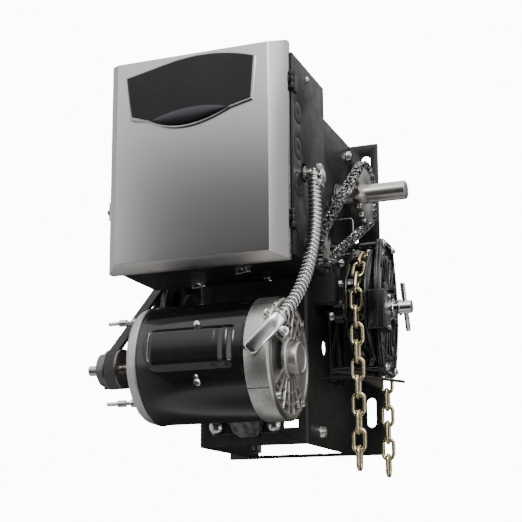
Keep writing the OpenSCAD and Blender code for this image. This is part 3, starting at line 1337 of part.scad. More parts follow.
// Hinged cover with bevelled edges
cover_x0 = box_x0 + cover_in;
cover_x1 = box_x1 - cover_in;
cover_z0 = box_z0 - cover_drop;
cover_z1 = box_z1 + cover_rise;
cover_y = box_y - shut_gap;
cover_face = cover_y - cover_lip - bevel_d;
module tray(t, back) intersection() {
    translate([0, 0, cover_z0 + t]) linear_extrude(cover_z1 - cover_z0 - 2 * t) polygon([
        [cover_x0 + t, cover_y + back], [cover_x0 + t, cover_y - cover_lip],
            [cover_x0 + bevel_x + t, cover_face + t],
        [cover_x1 - bevel_x - t, cover_face + t], [cover_x1 - t, cover_y - cover_lip],
            [cover_x1 - t, cover_y + back]]);
    across(cover_x0, 0, 0) linear_extrude(cover_x1 - cover_x0) polygon([
        [cover_y + back, cover_z0 + t], [cover_y - cover_lip, cover_z0 + t],
            [cover_face + t, cover_z0 + bevel_z + t],
        [cover_face + t, cover_z1 - bevel_z - t], [cover_y - cover_lip, cover_z1 - t],
            [cover_y + back, cover_z1 - t]]);
}
module cover() color([0.62, 0.60, 0.58]) difference() {
    tray(0, 0);
    tray(cover_t, over);
}
module cover_hinges() color([0.30, 0.29, 0.28]) for (h = hinge_h) {
    z = base_z + h;
    k = knuckle_l / 2;
    difference() {
        union() {
            knuckle(z - k, z + k);
            block([cover_x1, cover_y - cover_lip + gap, z - k], [cover_x1 + leaf_t, hinge_y, z + k]);
        }
        translate([hinge_x, hinge_y, z - knuckle_l]) cylinder(h = 2 * knuckle_l, d = hinge_pin_d + 2 * fit);
    }
}

// Raised badge panel, bare, on the cover's face
badge_size = [167, 88.5];
badge_x = -104;
badge_h = 363.5;
badge_t = 4;
badge_shares = [[0, 0.808], [0.17, 0.885], [0.344, 0.943], [0.683, 1.068], [1, 0.859], [1, 0.859],
    [0.985, 0.55],
    [0.976, 0.254], [0.976, 0.254], [0.886, 0.2], [0.796, 0.175], [0.443, -0.153], [0.18, 0.136],
        [0.18, 0.136],
    [0.1, 0.16], [0.042, 0.186]];
function bend(a, b, c) = [for (i = [0:8])
    let (t = i / 8) (1 - t) ^ 2 * a + 2 * t * (1 - t) * b + t ^ 2 * c];
function badge_point(i) = [badge_x + badge_shares[i].x * badge_size.x,
    base_z + badge_h + badge_shares[i].y * badge_size.y];
module badge() color([0.05, 0.05, 0.06]) translate([0, cover_face, 0]) rotate([90, 0, 0])
    linear_extrude(badge_t)
    polygon([badge_point(0), each bend(badge_point(2), badge_point(3), badge_point(4)), badge_point(7),
        each bend(badge_point(10), badge_point(11), badge_point(12)), badge_point(15)]);

catch_size = [3, 14, 22];
catch_share = 0.3;
module cover_catch() color([0.70, 0.69, 0.66]) {
    z = cover_z0 + (cover_z1 - cover_z0) * catch_share;
    block([cover_x0 - catch_size.x / 2, cover_y - cover_lip, z - catch_size.z / 2],
        [cover_x0, cover_y, z + catch_size.z / 2]);
    translate([cover_x0 - catch_size.x / 2, cover_y - cover_lip / 2, z]) rotate([0, -90, 0])
        cylinder(h = catch_size.x, d = catch_size.y / 2);
}

frame_channel();
tie_plate();
ground_lug();
frame_bolts();
control_box();
box_screws();
box_hinges();
sub_panel();
logic_board();
transformer();
contactor();
terminal_strip();
limit_bracket();
limit_switches();
nut_retainer();
motor_shell();
bell_right();
bell_left();
bearing_cap();
through_bolts();
stator();
capacitor_cover();
run_capacitor();
motor_base();
carriage_bolts();
conduit();
box_connector();
motor_connector();
v_belt();
shaft_bearings();
drive_chain();
limit_chain();
hoist_bracket();
chain_guard();
chain_guide();
hand_chain();
interlock_switch();
release_rod();
cover();
cover_hinges();
badge();
cover_catch();
motor_shaft();
rotor_core();
motor_fan();
motor_pulley();
clutch_shaft();
drive_pulley();
clutch_plates();
clutch_spring();
clutch_nut();
drive_sprocket();
t_bar();
pocket_wheel();
output_shaft();
output_sprocket();
limit_sprocket();
limit_shaft();
close_nut();
open_nut();
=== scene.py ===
"""Looks of the wall-hung industrial door operator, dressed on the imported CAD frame.

Lengths are metres in the part's frame: X right, Y back to the wall, Z up.
The origin is on the wall, at the centre of the four mounting slots.
Shapes are written in millimetres, with heights over the frame's foot, and at() turns them into metres.
Angles are written in degrees.
"""

import json
import math

import bmesh
import bpy
from mathutils import Matrix, Vector


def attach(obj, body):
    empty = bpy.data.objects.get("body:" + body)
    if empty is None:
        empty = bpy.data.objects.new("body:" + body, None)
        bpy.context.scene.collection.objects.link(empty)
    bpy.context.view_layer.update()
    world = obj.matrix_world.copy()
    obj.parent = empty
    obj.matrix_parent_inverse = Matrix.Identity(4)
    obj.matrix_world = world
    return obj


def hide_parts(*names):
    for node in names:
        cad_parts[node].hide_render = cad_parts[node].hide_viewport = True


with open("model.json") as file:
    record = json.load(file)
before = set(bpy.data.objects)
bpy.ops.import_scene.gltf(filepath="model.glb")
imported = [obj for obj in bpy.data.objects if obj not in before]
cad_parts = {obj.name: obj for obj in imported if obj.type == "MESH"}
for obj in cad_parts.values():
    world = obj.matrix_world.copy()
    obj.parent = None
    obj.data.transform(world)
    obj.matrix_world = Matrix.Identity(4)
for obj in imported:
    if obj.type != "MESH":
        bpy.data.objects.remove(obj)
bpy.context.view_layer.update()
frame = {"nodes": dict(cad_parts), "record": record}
NODES = frame["nodes"]
SLOTS = {entry["node"]: entry["material_slot"] for entry in frame["record"]["subparts"]}
MM = 0.001
FOOT = -231.5 * MM  # height of the frame's foot
EDGE_ANGLE = 32  # a sharper corner than this is rounded and split
NODE_WELD, PIECE_WELD = 1e-5, 1e-7  # vertices closer than this, in metres, become one
RIGHT, FRONT, UP = Vector((1, 0, 0)), Vector((0, -1, 0)), Vector((0, 0, 1))


def at(x, y, h):
    """A point given in millimetres, with its height over the frame's foot."""
    return Vector((x * MM, y * MM, h * MM + FOOT))


# Camera
CAM_PLACE = at(524.7, -1566.7, -127.7)
CAM_YAW, CAM_PITCH, CAM_ROLL = 20.67, 11.38, -0.269
CAM_LENS, CAM_SENSOR = 81.8, 36
CAM_SHIFT = 0.1
CAM_REACH = 20  # metres


def make_camera():
    """The photograph's viewpoint: low, to the right and looking up."""
    yaw, pitch, roll = (math.radians(a) for a in (CAM_YAW, CAM_PITCH, CAM_ROLL))
    right = Vector((math.cos(yaw), math.sin(yaw), 0))
    ahead = Vector((-math.sin(yaw), math.cos(yaw), 0))
    look = ahead * math.cos(pitch) + Vector((0, 0, math.sin(pitch)))
    top = Vector((0, 0, math.cos(pitch))) - ahead * math.sin(pitch)
    across = right * math.cos(roll) + top * math.sin(roll)
    top = top * math.cos(roll) - right * math.sin(roll)
    camera = bpy.data.objects.new("camera", bpy.data.cameras.new("camera"))
    bpy.context.scene.collection.objects.link(camera)
    camera.data.lens = CAM_LENS
    camera.data.sensor_width = CAM_SENSOR
    camera.data.shift_y = CAM_SHIFT
    camera.data.clip_end = CAM_REACH
    turn = Matrix((across, top, -look)).transposed().to_4x4()
    camera.matrix_world = Matrix.Translation(CAM_PLACE) @ turn
    bpy.context.scene.camera = camera


make_camera()


# Materials
NOISE_RANGE = (0.3, 0.7)  # where nearly all values of a noise lie
COLOUR_A, COLOUR_B, COLOUR_OUT = 6, 7, 2  # sockets of a Mix node that blends colours
FLOAT_A, FLOAT_B, FLOAT_OUT = 2, 3, 0  # and of one that blends numbers


def grey(v):
    """A neutral colour."""
    return (v, v, v)


def shade(colour, share):
    """A colour made lighter by a share, or darker by a negative one."""
    return tuple(min(1, c * (1 + share)) for c in colour)


class Nodes:
    """The node tree of a material or world, with short ways to add and join nodes."""

    def __init__(self, owner):
        owner.use_nodes = True
        self.tree = owner.node_tree

    def add(self, kind, **inputs):
        """Adds a node; each input is a value, or a socket to link."""
        node = self.tree.nodes.new("ShaderNode" + kind)
        for name, value in inputs.items():
            self.plug(node.inputs[name.replace("_", " ")], value)
        return node

    def plug(self, socket, value):
        """Links a socket to an input, or gives the input its value."""
        if isinstance(value, bpy.types.NodeSocket):
            self.tree.links.new(value, socket)
        else:
            socket.default_value = value

    def ramp(self, value, stops, easing="LINEAR"):
        """Maps a value through (place, colour) stops."""
        node = self.add("ValToRGB", Fac=value)
        ramp = node.color_ramp
        ramp.interpolation = easing
        while len(ramp.elements) < len(stops):
            ramp.elements.new(0.5)
        for element, (place, colour) in zip(ramp.elements, stops):
            element.position = place
            element.color = (*colour, 1)
        return node.outputs["Color"]


class Shader(Nodes):
    """A material's node tree, drawn in the object's own coordinates."""

    def __init__(self, name):
        self.material = bpy.data.materials.new(name)
        super().__init__(self.material)
        self.surface = self.tree.nodes["Principled BSDF"]
        self.coords = self.add("TexCoord").outputs["Object"]

    def set(self, **inputs):
        """Sets or links inputs of the surface."""
        for name, value in inputs.items():
            self.plug(self.surface.inputs[name.replace("_", " ")], value)
        return self

    def stretched(self, scale):
        """Object coordinates with their own scale along each axis."""
        return self.add("Mapping", Vector=self.coords, Scale=scale).outputs["Vector"]

    def noise(self, scale, detail=4.0, vector=None, roughness=0.55):
        """A cloudy pattern of 0 to 1, finer with its scale."""
        vector = vector or self.coords
        node = self.add("TexNoise", Vector=vector, Scale=scale, Detail=detail, Roughness=roughness)
        return node.outputs["Fac"]

    def level(self, value, low, high):
        """Maps a noise to a range."""
        least, most = NOISE_RANGE
        node = self.add("MapRange", Value=value, From_Min=least, From_Max=most, To_Min=low, To_Max=high)
        return node.outputs["Result"]

    def tint(self, factor, a, b):
        """Blends two colours."""
        node = self.add("Mix", Factor=factor)
        node.data_type = "RGBA"
        self.plug(node.inputs[COLOUR_A], a)
        self.plug(node.inputs[COLOUR_B], b)
        return node.outputs[COLOUR_OUT]

    def bump(self, height, strength, distance):
        """Raises the surface by a pattern."""
        node = self.add("Bump", Height=height, Strength=strength, Distance=distance)
        return self.set(Normal=node.outputs["Normal"])


def powder_coat(name, tone=0.006, rough=0.40):
    """Satin black powder coat with a fine orange peel and a little dust."""
    s = Shader(name)
    dust = s.noise(28, 6)
    s.set(Base_Color=s.ramp(dust, [(0.35, grey(tone)), (0.75, grey(tone * 1.9))]))
    s.set(Roughness=s.level(s.noise(60, 3), rough - 0.06, rough + 0.08), Specular_IOR_Level=0.45)
    return s.bump(s.noise(1500, 2), 0.12, 0.0002).material


def gloss_paint(name, tone, rough, coat=0.6):
    """Gloss black enamel, slightly wavy over the rolled sheet."""
    s = Shader(name)
    s.set(Base_Color=s.ramp(s.noise(15, 5), [(0.4, grey(tone)), (0.8, grey(tone * 2))]))
    s.set(Roughness=s.level(s.noise(90, 4), rough - 0.04, rough + 0.08))
    s.set(Coat_Weight=coat, Coat_Roughness=0.12)
    return s.bump(s.noise(420, 2), 0.06, 0.0003).material


def brushed(name, colour, rough=0.32, grain=(2600, 12, 2600), bump=0.05, depth=0.14):
    """Brushed or turned metal: fine lines along one axis."""
    s = Shader(name)
    lines = s.noise(1.0, 2, s.stretched(grain), 0.7)
    cloud = s.noise(9, 3)
    dark, light = shade(colour, -depth), shade(colour, 0.7 * depth)
    lined = s.ramp(lines, [(0.25, dark), (0.75, light)])
    clouded = s.ramp(cloud, [(0.3, dark), (0.7, light)])
    s.set(Base_Color=s.tint(0.35, lined, clouded), Metallic=1.0, Anisotropic=0.35)
    s.set(Roughness=s.level(lines, rough - 0.25 * depth, rough + 0.4 * depth))
    return s.bump(lines, bump, 0.0001).material


def cast_metal(name, colour, rough, grain, speck=0.5, metallic=1.0):
    """Sand cast metal: a speckled, pitted skin."""
    s = Shader(name)
    pits = s.noise(grain, 5, roughness=0.7)
    cloud = s.noise(40, 4)
    dark, light = shade(colour, -speck), shade(colour, 0.5 * speck)
    pitted = s.ramp(pits, [(0.36, dark), (0.5, colour), (0.66, light)])
    clouded = s.ramp(cloud, [(0.3, dark), (0.7, light)])
    s.set(Base_Color=s.tint(0.3, pitted, clouded), Metallic=metallic)
    s.set(Roughness=s.level(pits, rough + 0.1, rough - 0.08))
    return s.bump(pits, 0.35, 0.0003).material


def plated(name, colour, rough=0.18, stain=0.25):
    """Bright zinc, chrome or yellow zinc plating with clouded tarnish."""
    s = Shader(name)
    cloud = s.noise(140, 6)
    s.set(Base_Color=s.ramp(cloud, [(0.35, shade(colour, -stain)), (0.6, colour)]), Metallic=1.0)
    s.set(Roughness=s.level(cloud, rough + 0.1, rough - 0.03))
    return s.bump(s.noise(700, 3), 0.05, 0.0002).material


def speckled(name, dark, light, share=(0.44, 0.56)):
    """Oiled chain steel with painted glints: bright specks in its colour stand for glints of light on its
    dark plates.
    """
    s = Shader(name)
    glint_specks = s.noise(420, 3, roughness=0.6)
    s.set(Base_Color=s.ramp(glint_specks, [(share[0], grey(dark)), (share[1], grey(light))]), Metallic=1.0)
    s.set(Roughness=s.level(glint_specks, 0.42, 0.12))
    return s.bump(glint_specks, 0.3, 0.0002).material


def moulded(name, colour, rough, texture=0.08):
    """Moulded plastic, rubber or board with a fine grain."""
    s = Shader(name)
    cloud = s.noise(120, 4)
    s.set(Base_Color=s.ramp(cloud, [(0.35, shade(colour, -0.2)), (0.65, colour)]))
    s.set(Roughness=s.level(cloud, rough - 0.05, rough + 0.1))
    return s.bump(s.noise(1100, 2), texture, 0.0002).material


SHEET_GRAIN = (4, 5200, 5200)  # brushed across the cover
RECIPES = {  # how each material is made, and the values that differ
    "black_coat": (powder_coat,),
    "gloss_black": (gloss_paint, 0.0025, 0.14, 0.2),
    "brushed_silver": (brushed, (0.61, 0.585, 0.58), 0.27, SHEET_GRAIN, 0.002, 0.008),
    # a rougher silver for the cover's lip, with painted light in its lighter colour
    "satin_silver": (brushed, (0.76, 0.74, 0.72), 0.52, SHEET_GRAIN, 0.002, 0.02),
    "badge_black": (gloss_paint, 0.004, 0.2, 0.1),
    "cast_alu": (cast_metal, (0.66, 0.64, 0.61), 0.40, 900, 0.6),
    "worn_black": (plated, (0.13, 0.13, 0.13), 0.16, 0.6),
    "zinc": (plated, (0.80, 0.79, 0.76)),
    "bright_steel": (plated, (0.98, 0.97, 0.95), 0.1, 0.16),
    "shadow_chrome": (plated, (0.34, 0.33, 0.32), 0.14, 0.3),
    # chain and bolt steels carry painted glints: bright specks in their colour stand for glints of light
    "chain_steel": (speckled, 0.03, 0.9, (0.5, 0.6)),
    "dimpled_steel": (speckled, 0.45, 0.95),
    "guard_black": (gloss_paint, 0.004, 0.2),
    "gold_zinc": (plated, (0.78, 0.68, 0.46), 0.2, 0.3),
    "shaft_steel": (brushed, (0.62, 0.60, 0.57), 0.3, (2600, 30, 30)),
    "dark_steel": (brushed, (0.20, 0.19, 0.18), 0.34, (900, 900, 900)),
    "pale_steel": (brushed, (0.62, 0.60, 0.56), 0.36, (700, 700, 700)),
    "cast_black": (cast_metal, (0.018, 0.018, 0.018), 0.34, 500, 0.4, 0.0),
    "grey_iron": (cast_metal, (0.16, 0.155, 0.15), 0.45, 600),
    "belt_rubber": (moulded, (0.02, 0.02, 0.02), 0.65, 0.2),
    "black_plastic": (moulded, (0.02, 0.02, 0.02), 0.4),
    "white_nylon": (moulded, (0.80, 0.78, 0.70), 0.35),
    "board_green": (moulded, (0.02, 0.10, 0.05), 0.3),
    "friction": (moulded, (0.035, 0.028, 0.024), 0.7, 0.3),
    "lens": (brushed, (0.075, 0.075, 0.085), 0.2, (12, 12, 12), 0.0, 0.05),
}
MATERIALS = {name: make(name, *values) for name, (make, *values) in RECIPES.items()}


# CAD nodes
NODE_FINISH = {  # nodes whose surface differs from their slot's usual finish
    "drive_chain": "chain_steel", "limit_chain": "chain_steel", "chain_guard": "guard_black",
    "hoist_bracket": "guard_black", "motor_base": "guard_black", "pocket_wheel": "guard_black",
    "tie_plate": "guard_black", "t_bar": "bright_steel", "box_screws": "bright_steel",
    "carriage_bolts": "dimpled_steel",
}
NODE_EDGE = {  # rounding of the nodes whose edges show
    "frame_channel": 0.5, "tie_plate": 0.3, "ground_lug": 0.3, "frame_bolts": 0.3, "shaft_bearings": 0.8,
    "control_box": 0.5, "box_hinges": 0.2, "box_screws": 0.2, "box_connector": 0.8,
    "cover": 0.9, "cover_hinges": 0.2,
    "motor_shell": 0.3, "bell_left": 1.2, "bell_right": 1.2, "bearing_cap": 1.4, "through_bolts": 0.2,
    "capacitor_cover": 0.8, "motor_connector": 0.7, "motor_base": 3.0, "carriage_bolts": 0.4,
    "motor_pulley": 0.6, "drive_pulley": 0.8, "clutch_plates": 0.5, "clutch_nut": 0.4,
    "output_shaft": 0.3, "output_sprocket": 0.3, "limit_sprocket": 0.3,
    "hoist_bracket": 0.6, "chain_guard": 1.0, "chain_guide": 0.3, "pocket_wheel": 0.8, "t_bar": 0.5,
    "interlock_switch": 0.8,
}
LIP_TILT = -0.3  # the cover's faces that look further down than this are its lower lip


def round_edges(thing, width):
    """Rounds the sharp edges of a thing by a width in millimetres."""
    bevel = thing.modifiers.new("bevel", "BEVEL")
    bevel.width = width * MM
    bevel.segments = 2
    bevel.limit_method = "ANGLE"
    bevel.angle_limit = math.radians(EDGE_ANGLE)


def shade_between_edges(thing, angle):
    """Shades a thing smooth, but for edges sharper than the angle; 0 leaves none."""
    for polygon in thing.data.polygons:
        polygon.use_smooth = True
    if angle:
        thing.modifiers.new("split", "EDGE_SPLIT").split_angle = math.radians(angle)


def dress_node(name):
    """Gives a CAD node its material and, where its edges show, a small rounding."""
    node = NODES[name]
    node.data.materials.clear()
    node.data.materials.append(MATERIALS[NODE_FINISH.get(name, SLOTS[name])])
    if name in NODE_EDGE:
        node.modifiers.new("weld", "WELD").merge_threshold = NODE_WELD
        round_edges(node, NODE_EDGE[name])
    shade_between_edges(node, EDGE_ANGLE)


def paint_light_on_lip():
    """Gives the cover's lower lip a rougher and lighter silver than its face; the lighter colour is painted
    light on the lip, which would otherwise mirror the dark motor under it.
    """
    cover = NODES["cover"].data
    cover.materials.append(MATERIALS["satin_silver"])
    for polygon in cover.polygons:
        if polygon.normal.z < LIP_TILT:
            polygon.material_index = 1


for node_name in NODES:
    dress_node(node_name)
paint_light_on_lip()


# Piece building
def unit_rows(count, low=0.0, high=1.0):
    """Evenly spaced numbers from low to high, both included."""
    return [low + (high - low) * i / (count - 1) for i in range(count)]


def skin(mesh, rows, close_u=False, close_v=False):
    """Faces between rows of points; returns the vertex rows."""
    grid = [[mesh.verts.new(p) for p in row] for row in rows]
    n, m = len(grid), len(grid[0])
    for i in range(n if close_u else n - 1):
        for j in range(m if close_v else m - 1):
            a, b = (i + 1) % n, (j + 1) % m
            mesh.faces.new((grid[i][j], grid[i][b], grid[a][b], grid[a][j]))
    return grid


def block_of(mesh, rows):
    """A closed solid from two or more stacked loops of points."""
    grid = skin(mesh, rows, close_v=True)
    mesh.faces.new(grid[0])
    mesh.faces.new(list(reversed(grid[-1])))


def weld(mesh, reach=PIECE_WELD):
    """Joins the vertices that lie on each other."""
    bmesh.ops.remove_doubles(mesh, verts=mesh.verts, dist=reach)


def piece(name, mesh, finish, replaces=(), body="operator", bevel=0.0, split=EDGE_ANGLE):
    """Turns a bmesh into a riding piece with its finish, and hides the CAD nodes it replaces."""
    bmesh.ops.recalc_face_normals(mesh, faces=mesh.faces)
    data = bpy.data.meshes.new(name)
    mesh.to_mesh(data)
    mesh.free()
    data.materials.append(MATERIALS[finish])
    made = bpy.data.objects.new(name, data)
    bpy.context.scene.collection.objects.link(made)
    if bevel:
        round_edges(made, bevel)
    shade_between_edges(made, split)
    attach(made, body)
    if replaces:
        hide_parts(*replaces)
    return made


def ring(centre, u, v, radius, count):
    """Points on a circle round a centre, across two directions."""
    turns = (2 * math.pi * i / count for i in range(count))
    return [centre + (u * math.cos(t) + v * math.sin(t)) * radius * MM for t in turns]


def square_to(axis):
    """A direction made one unit long, and two directions square to it."""
    axis = Vector(axis).normalized()
    side = axis.orthogonal().normalized()
    return axis, side, axis.cross(side)


def lathe(mesh, profile, place, steps):
    """Revolves (along, radius) points; place maps along, radius and angle to the frame."""
    turns = [360 * i / steps for i in range(steps)]
    return skin(mesh, [[place(along, radius, a) for along, radius in profile] for a in turns], close_u=True)


def rounded_loop(half_u, half_v, r, steps=5):
    """A rounded rectangle as (u, v) points."""
    points = []
    for cu, cv, start in ((1, 1, 0), (-1, 1, 90), (-1, -1, 180), (1, -1, 270)):
        for i in range(steps):
            a = math.radians(start + 90 * i / (steps - 1))
            points.append((cu * (half_u - r) + r * math.cos(a), cv * (half_v - r) + r * math.sin(a)))
    return points


def slab(mesh, place, half_u, half_v, r, heights, shrink=(0, 0)):
    """A rounded slab, smaller by a shrink at each height; place maps (u, v, w) to the frame."""
    rows = []
    for w, cut in zip(heights, shrink):
        rows.append([place(u, v, w) for u, v in rounded_loop(half_u - cut, half_v - cut, r - cut)])
    block_of(mesh, rows)


def peg(mesh, centre, axis, radius, height, sides=28, crown=0.12):
    """A short round boss whose edge is broken by a share of its radius."""
    axis, side, over = square_to(axis)
    edge = radius * crown
    stack = ((0, radius), (height - edge, radius), (height, radius - edge))
    block_of(mesh, [ring(centre + axis * w * MM, side, over, r, sides) for w, r in stack])


def cross_screw(mesh, centre, axis, radius, height):
    """A pan head with a cross on its crown."""
    peg(mesh, centre, axis, radius, height, 24, 0.3)
    axis, side, over = square_to(axis)
    top = centre + axis * height * MM
    long, short = radius * 0.55 * MM, radius * 0.13 * MM
    low, high = axis * -0.5 * MM, axis * 0.12 * MM
    for along, across in ((side, over), (over, side)):
        loop = [along * a * long + across * b * short for a, b in ((1, 1), (-1, 1), (-1, -1), (1, -1))]
        block_of(mesh, [[top + low + p for p in loop], [top + high + p for p in loop]])


# Badge: a silver rim, a dark face and a pillow-shaped lens under it
BADGE_X, BADGE_Y, BADGE_H = -104, -356.7, 363.5
BADGE_SIZE = (167, 88.5)
RIM_LOOPS = ((0.2, 0), (0.2, 2.6), (0.9, 3.4), (1.5, 3.4), (1.7, 2.4))  # inset and rise
FACE_LOOPS = ((1.5, 2.0), (1.5, 3.1), (2.5, 3.7))
LENS_STEPS = (40, 13)  # along and across
LENS_RISE, LENS_CROWN, LENS_ROUND = 3.4, 1.4, 0.6
LENS_TIP = 5  # how soon the crown rises from the lens's pointed ends
MITRE = 0.5  # a corner moves in by at most twice the inset


def bend(a, b, c, steps=24):
    """Points on a curve from a to c that leans to b."""
    return [((1 - t) ** 2 * a[0] + 2 * t * (1 - t) * b[0] + t ** 2 * c[0],
             (1 - t) ** 2 * a[1] + 2 * t * (1 - t) * b[1] + t ** 2 * c[1]) for t in unit_rows(steps)]


def badge_outline():
    """The badge's outline in shares of its size."""
    top = bend((0.344, 0.943), (0.683, 1.068), (1, 0.859))
    foot = bend((0.796, 0.175), (0.443, -0.153), (0.18, 0.136))
    return [(0, 0.808)] + top + [(0.976, 0.254)] + foot + [(0.042, 0.186)]


def badge_point(share, rise):
    """A point on the badge, at a rise over the cover."""
    return at(BADGE_X + share[0] * BADGE_SIZE[0], BADGE_Y - rise, BADGE_H + share[1] * BADGE_SIZE[1])


def shrunk(outline, amount):
    """The outline moved in by an amount in millimetres."""
    points = [Vector((u * BADGE_SIZE[0], v * BADGE_SIZE[1])) for u, v in outline]
    area = sum(a.x * b.y - b.x * a.y for a, b in zip(points, points[1:] + points[:1]))
    inward = 1 if area > 0 else -1
    moved = []
    for i, here in enumerate(points):
        before = (here - points[i - 1]).normalized()
        after = (points[(i + 1) % len(points)] - here).normalized()
        lean = (before + after).normalized()
        shift = Vector((-lean.y, lean.x)) * inward * amount / max(MITRE, lean.dot(before))
        moved.append(((here.x + shift.x) / BADGE_SIZE[0], (here.y + shift.y) / BADGE_SIZE[1]))
    return moved


def badge_stack(outline, loops):
    """A solid of loops, each with its inset and rise."""
    mesh = bmesh.new()
    block_of(mesh, [[badge_point(p, rise) for p in shrunk(outline, inset)] for inset, rise in loops])
    return mesh


def make_badge():
    """The silver rim and the dark face in it."""
    outline = badge_outline()
    rim = badge_stack(outline, RIM_LOOPS)
    piece("badge_rim", rim, "zinc", ("badge",), "box_cover", split=30)
    face = badge_stack(outline[:-1] + [(0.045, 0.222)], FACE_LOOPS)
    piece("badge_face", face, "badge_black", body="box_cover", split=25)


def make_badge_lens():
    """The pillow-shaped panel at the badge's foot."""
    upper = bend((0.195, 0.14), (0.52, 0.36), (0.81, 0.195), LENS_STEPS[0])
    lower = bend((0.195, 0.136), (0.45, -0.12), (0.81, 0.188), LENS_STEPS[0])
    rows = []
    for (u0, v0), (u1, v1) in zip(upper, lower):
        row = []
        for t in unit_rows(LENS_STEPS[1]):
            crown = LENS_CROWN * math.sin(math.pi * t) ** LENS_ROUND * min(1.0, LENS_TIP * (v0 - v1))
            row.append(badge_point((u0 + (u1 - u0) * t, v0 + (v1 - v0) * t), LENS_RISE + crown))
        rows.append(row)
    lens = bmesh.new()
    skin(lens, rows)
    piece("badge_lens", lens, "lens", body="box_cover", split=0)


# Conduit: strip-wound steel, ribbed along its route
CONDUIT_ROUTE = [(110, -286, 310), (110, -286, 296), (111, -288, 277), (112, -290, 261), (112, -293, 246),
                 (112, -297, 231), (111, -302, 216), (110, -307, 202), (108, -312, 188), (105, -319, 173),
                 (101, -327, 158), (97, -334, 147), (93, -340, 137), (86, -345, 128)]
CONDUIT_R = 8.2
CONDUIT_SIDES = 28
RIBS, RIB_STEPS = 36, 10
RIB_WIDTH = 0.72  # share of the pitch that a rib takes
VALLEY, CREST = 0.72, 0.275  # shares of the radius
RIB_ROUND = 0.7
# a dark tube inside the ribs: painted shade in the grooves between them
GROOVE_SHADE_R, GROOVE_SHADE_SIDES, GROOVE_SHADE_STEPS = 0.84 * CONDUIT_R, 20, 61


def on_route(points, t):
    """A point on the smooth curve through the points, for t from 0 to 1."""
    n = len(points) - 1
    i = min(n - 1, int(t * n))
    u = t * n - i
    p1, p2 = points[i], points[i + 1]
    p0 = points[i - 1] if i > 0 else 2 * p1 - p2
    p3 = points[i + 2] if i < n - 1 else 2 * p2 - p1
    return (2 * p1 + (p2 - p0) * u + (2 * p0 - 5 * p1 + 4 * p2 - p3) * u ** 2
            + (3 * p1 - p0 - 3 * p2 + p3) * u ** 3) / 2


def even_route(points, count):
    """Points at even spacing along the curve, and its length."""
    fine = [on_route(points, t) for t in unit_rows(600)]
    runs = [0.0]
    for a, b in zip(fine, fine[1:]):
        runs.append(runs[-1] + (b - a).length)
    out, j = [], 0
    for want in unit_rows(count, 0, runs[-1]):
        while j < len(runs) - 2 and runs[j + 1] < want:
            j += 1
        span = runs[j + 1] - runs[j]
        out.append(fine[j].lerp(fine[j + 1], min(1, (want - runs[j]) / span)))
    return out, runs[-1]


def across_path(path):
    """Two directions across the path at each of its points."""
    pairs = []
    side = RIGHT
    for i in range(len(path)):
        ahead = (path[min(i + 1, len(path) - 1)] - path[max(i - 1, 0)]).normalized()
        side = (side - ahead * side.dot(ahead)).normalized()
        pairs.append((side, ahead.cross(side)))
    return pairs


def make_conduit():
    """The ribbed armour; its ribs wind round the path as one thread."""
    points = [at(*p) for p in CONDUIT_ROUTE]
    path, length = even_route(points, RIBS * RIB_STEPS + 1)
    rows = []
    for i, (centre, (u, v)) in enumerate(zip(path, across_path(path))):
        loop = []
        for k in range(CONDUIT_SIDES):
            a = 2 * math.pi * k / CONDUIT_SIDES
            phase = (i / RIB_STEPS + k / CONDUIT_SIDES) % 1
            crest = math.sin(math.pi * phase / RIB_WIDTH) ** RIB_ROUND if 0 < phase < RIB_WIDTH else 0.0
            r = CONDUIT_R * (VALLEY + CREST * crest) * MM
            loop.append(centre + (u * math.cos(a) + v * math.sin(a)) * r)
        rows.append(loop)
    mesh = bmesh.new()
    block_of(mesh, rows)
    made = piece("conduit_armour", mesh, "bright_steel", ("conduit",), split=60)


def make_conduit_groove_shade():
    """A dark tube inside the armour that stands out between the conduit's ribs: painted shade in their
    grooves.
    """
    path, _ = even_route([at(*p) for p in CONDUIT_ROUTE], GROOVE_SHADE_STEPS)
    mesh = bmesh.new()
    block_of(mesh, [ring(centre, u, v, GROOVE_SHADE_R, GROOVE_SHADE_SIDES)
                    for centre, (u, v) in zip(path, across_path(path))])
    piece("conduit_groove_shade", mesh, "dark_steel", split=60)


# Motor
MOTOR_Y, MOTOR_H = -288, 91.4


def round_motor(x, r, a):
    """A point round the motor's axis; angle 0 faces the front, and up is positive."""
    a = math.radians(a)
    return at(x, MOTOR_Y - r * math.cos(a), MOTOR_H + r * math.sin(a))


def arc_bar(mesh, x, r, a, steps=24):
    """A curved bar round the motor's axis between two places, radii and angles."""
    rows = []
    for angle in unit_rows(steps, *a):
        rows.append([round_motor(x[0], r[0], angle), round_motor(x[1], r[0], angle),
                     round_motor(x[1], r[1], angle), round_motor(x[0], r[1], angle)])
    block_of(mesh, rows)


def spoke(mesh, x, r, a, half):
    """A straight radial rib on the motor's end, between two places and radii."""
    a = math.radians(a)
    out, side = Vector((0, -math.cos(a), math.sin(a))), Vector((0, math.sin(a), math.cos(a)))
    corners = ((1, x[0]), (1, x[1]), (-1, x[1]), (-1, x[0]))
    block_of(mesh, [[at(place, MOTOR_Y, MOTOR_H) + (out * radius + side * lean * half) * MM
                     for lean, place in corners] for radius in r])


# Right bell: cast drum, ribbed end with a front window, and the bearing boss
BELL_BACK, BELL_END = 48, 78
BELL_R = 72.5
BELL_INNER = 66  # where the ribs meet the drum
BELL_STEPS, HUB_STEPS = 144, 96
WINDOW_ANGLE = 37  # half of the front window
VENTS = (36, 142)  # angles of the vented part on each side of the window
VENT_RINGS, VENT_RING = (40, 54), 1.1  # radii and half width
VENT_RIBS, VENT_RIB = 7, 1.3  # number and half width


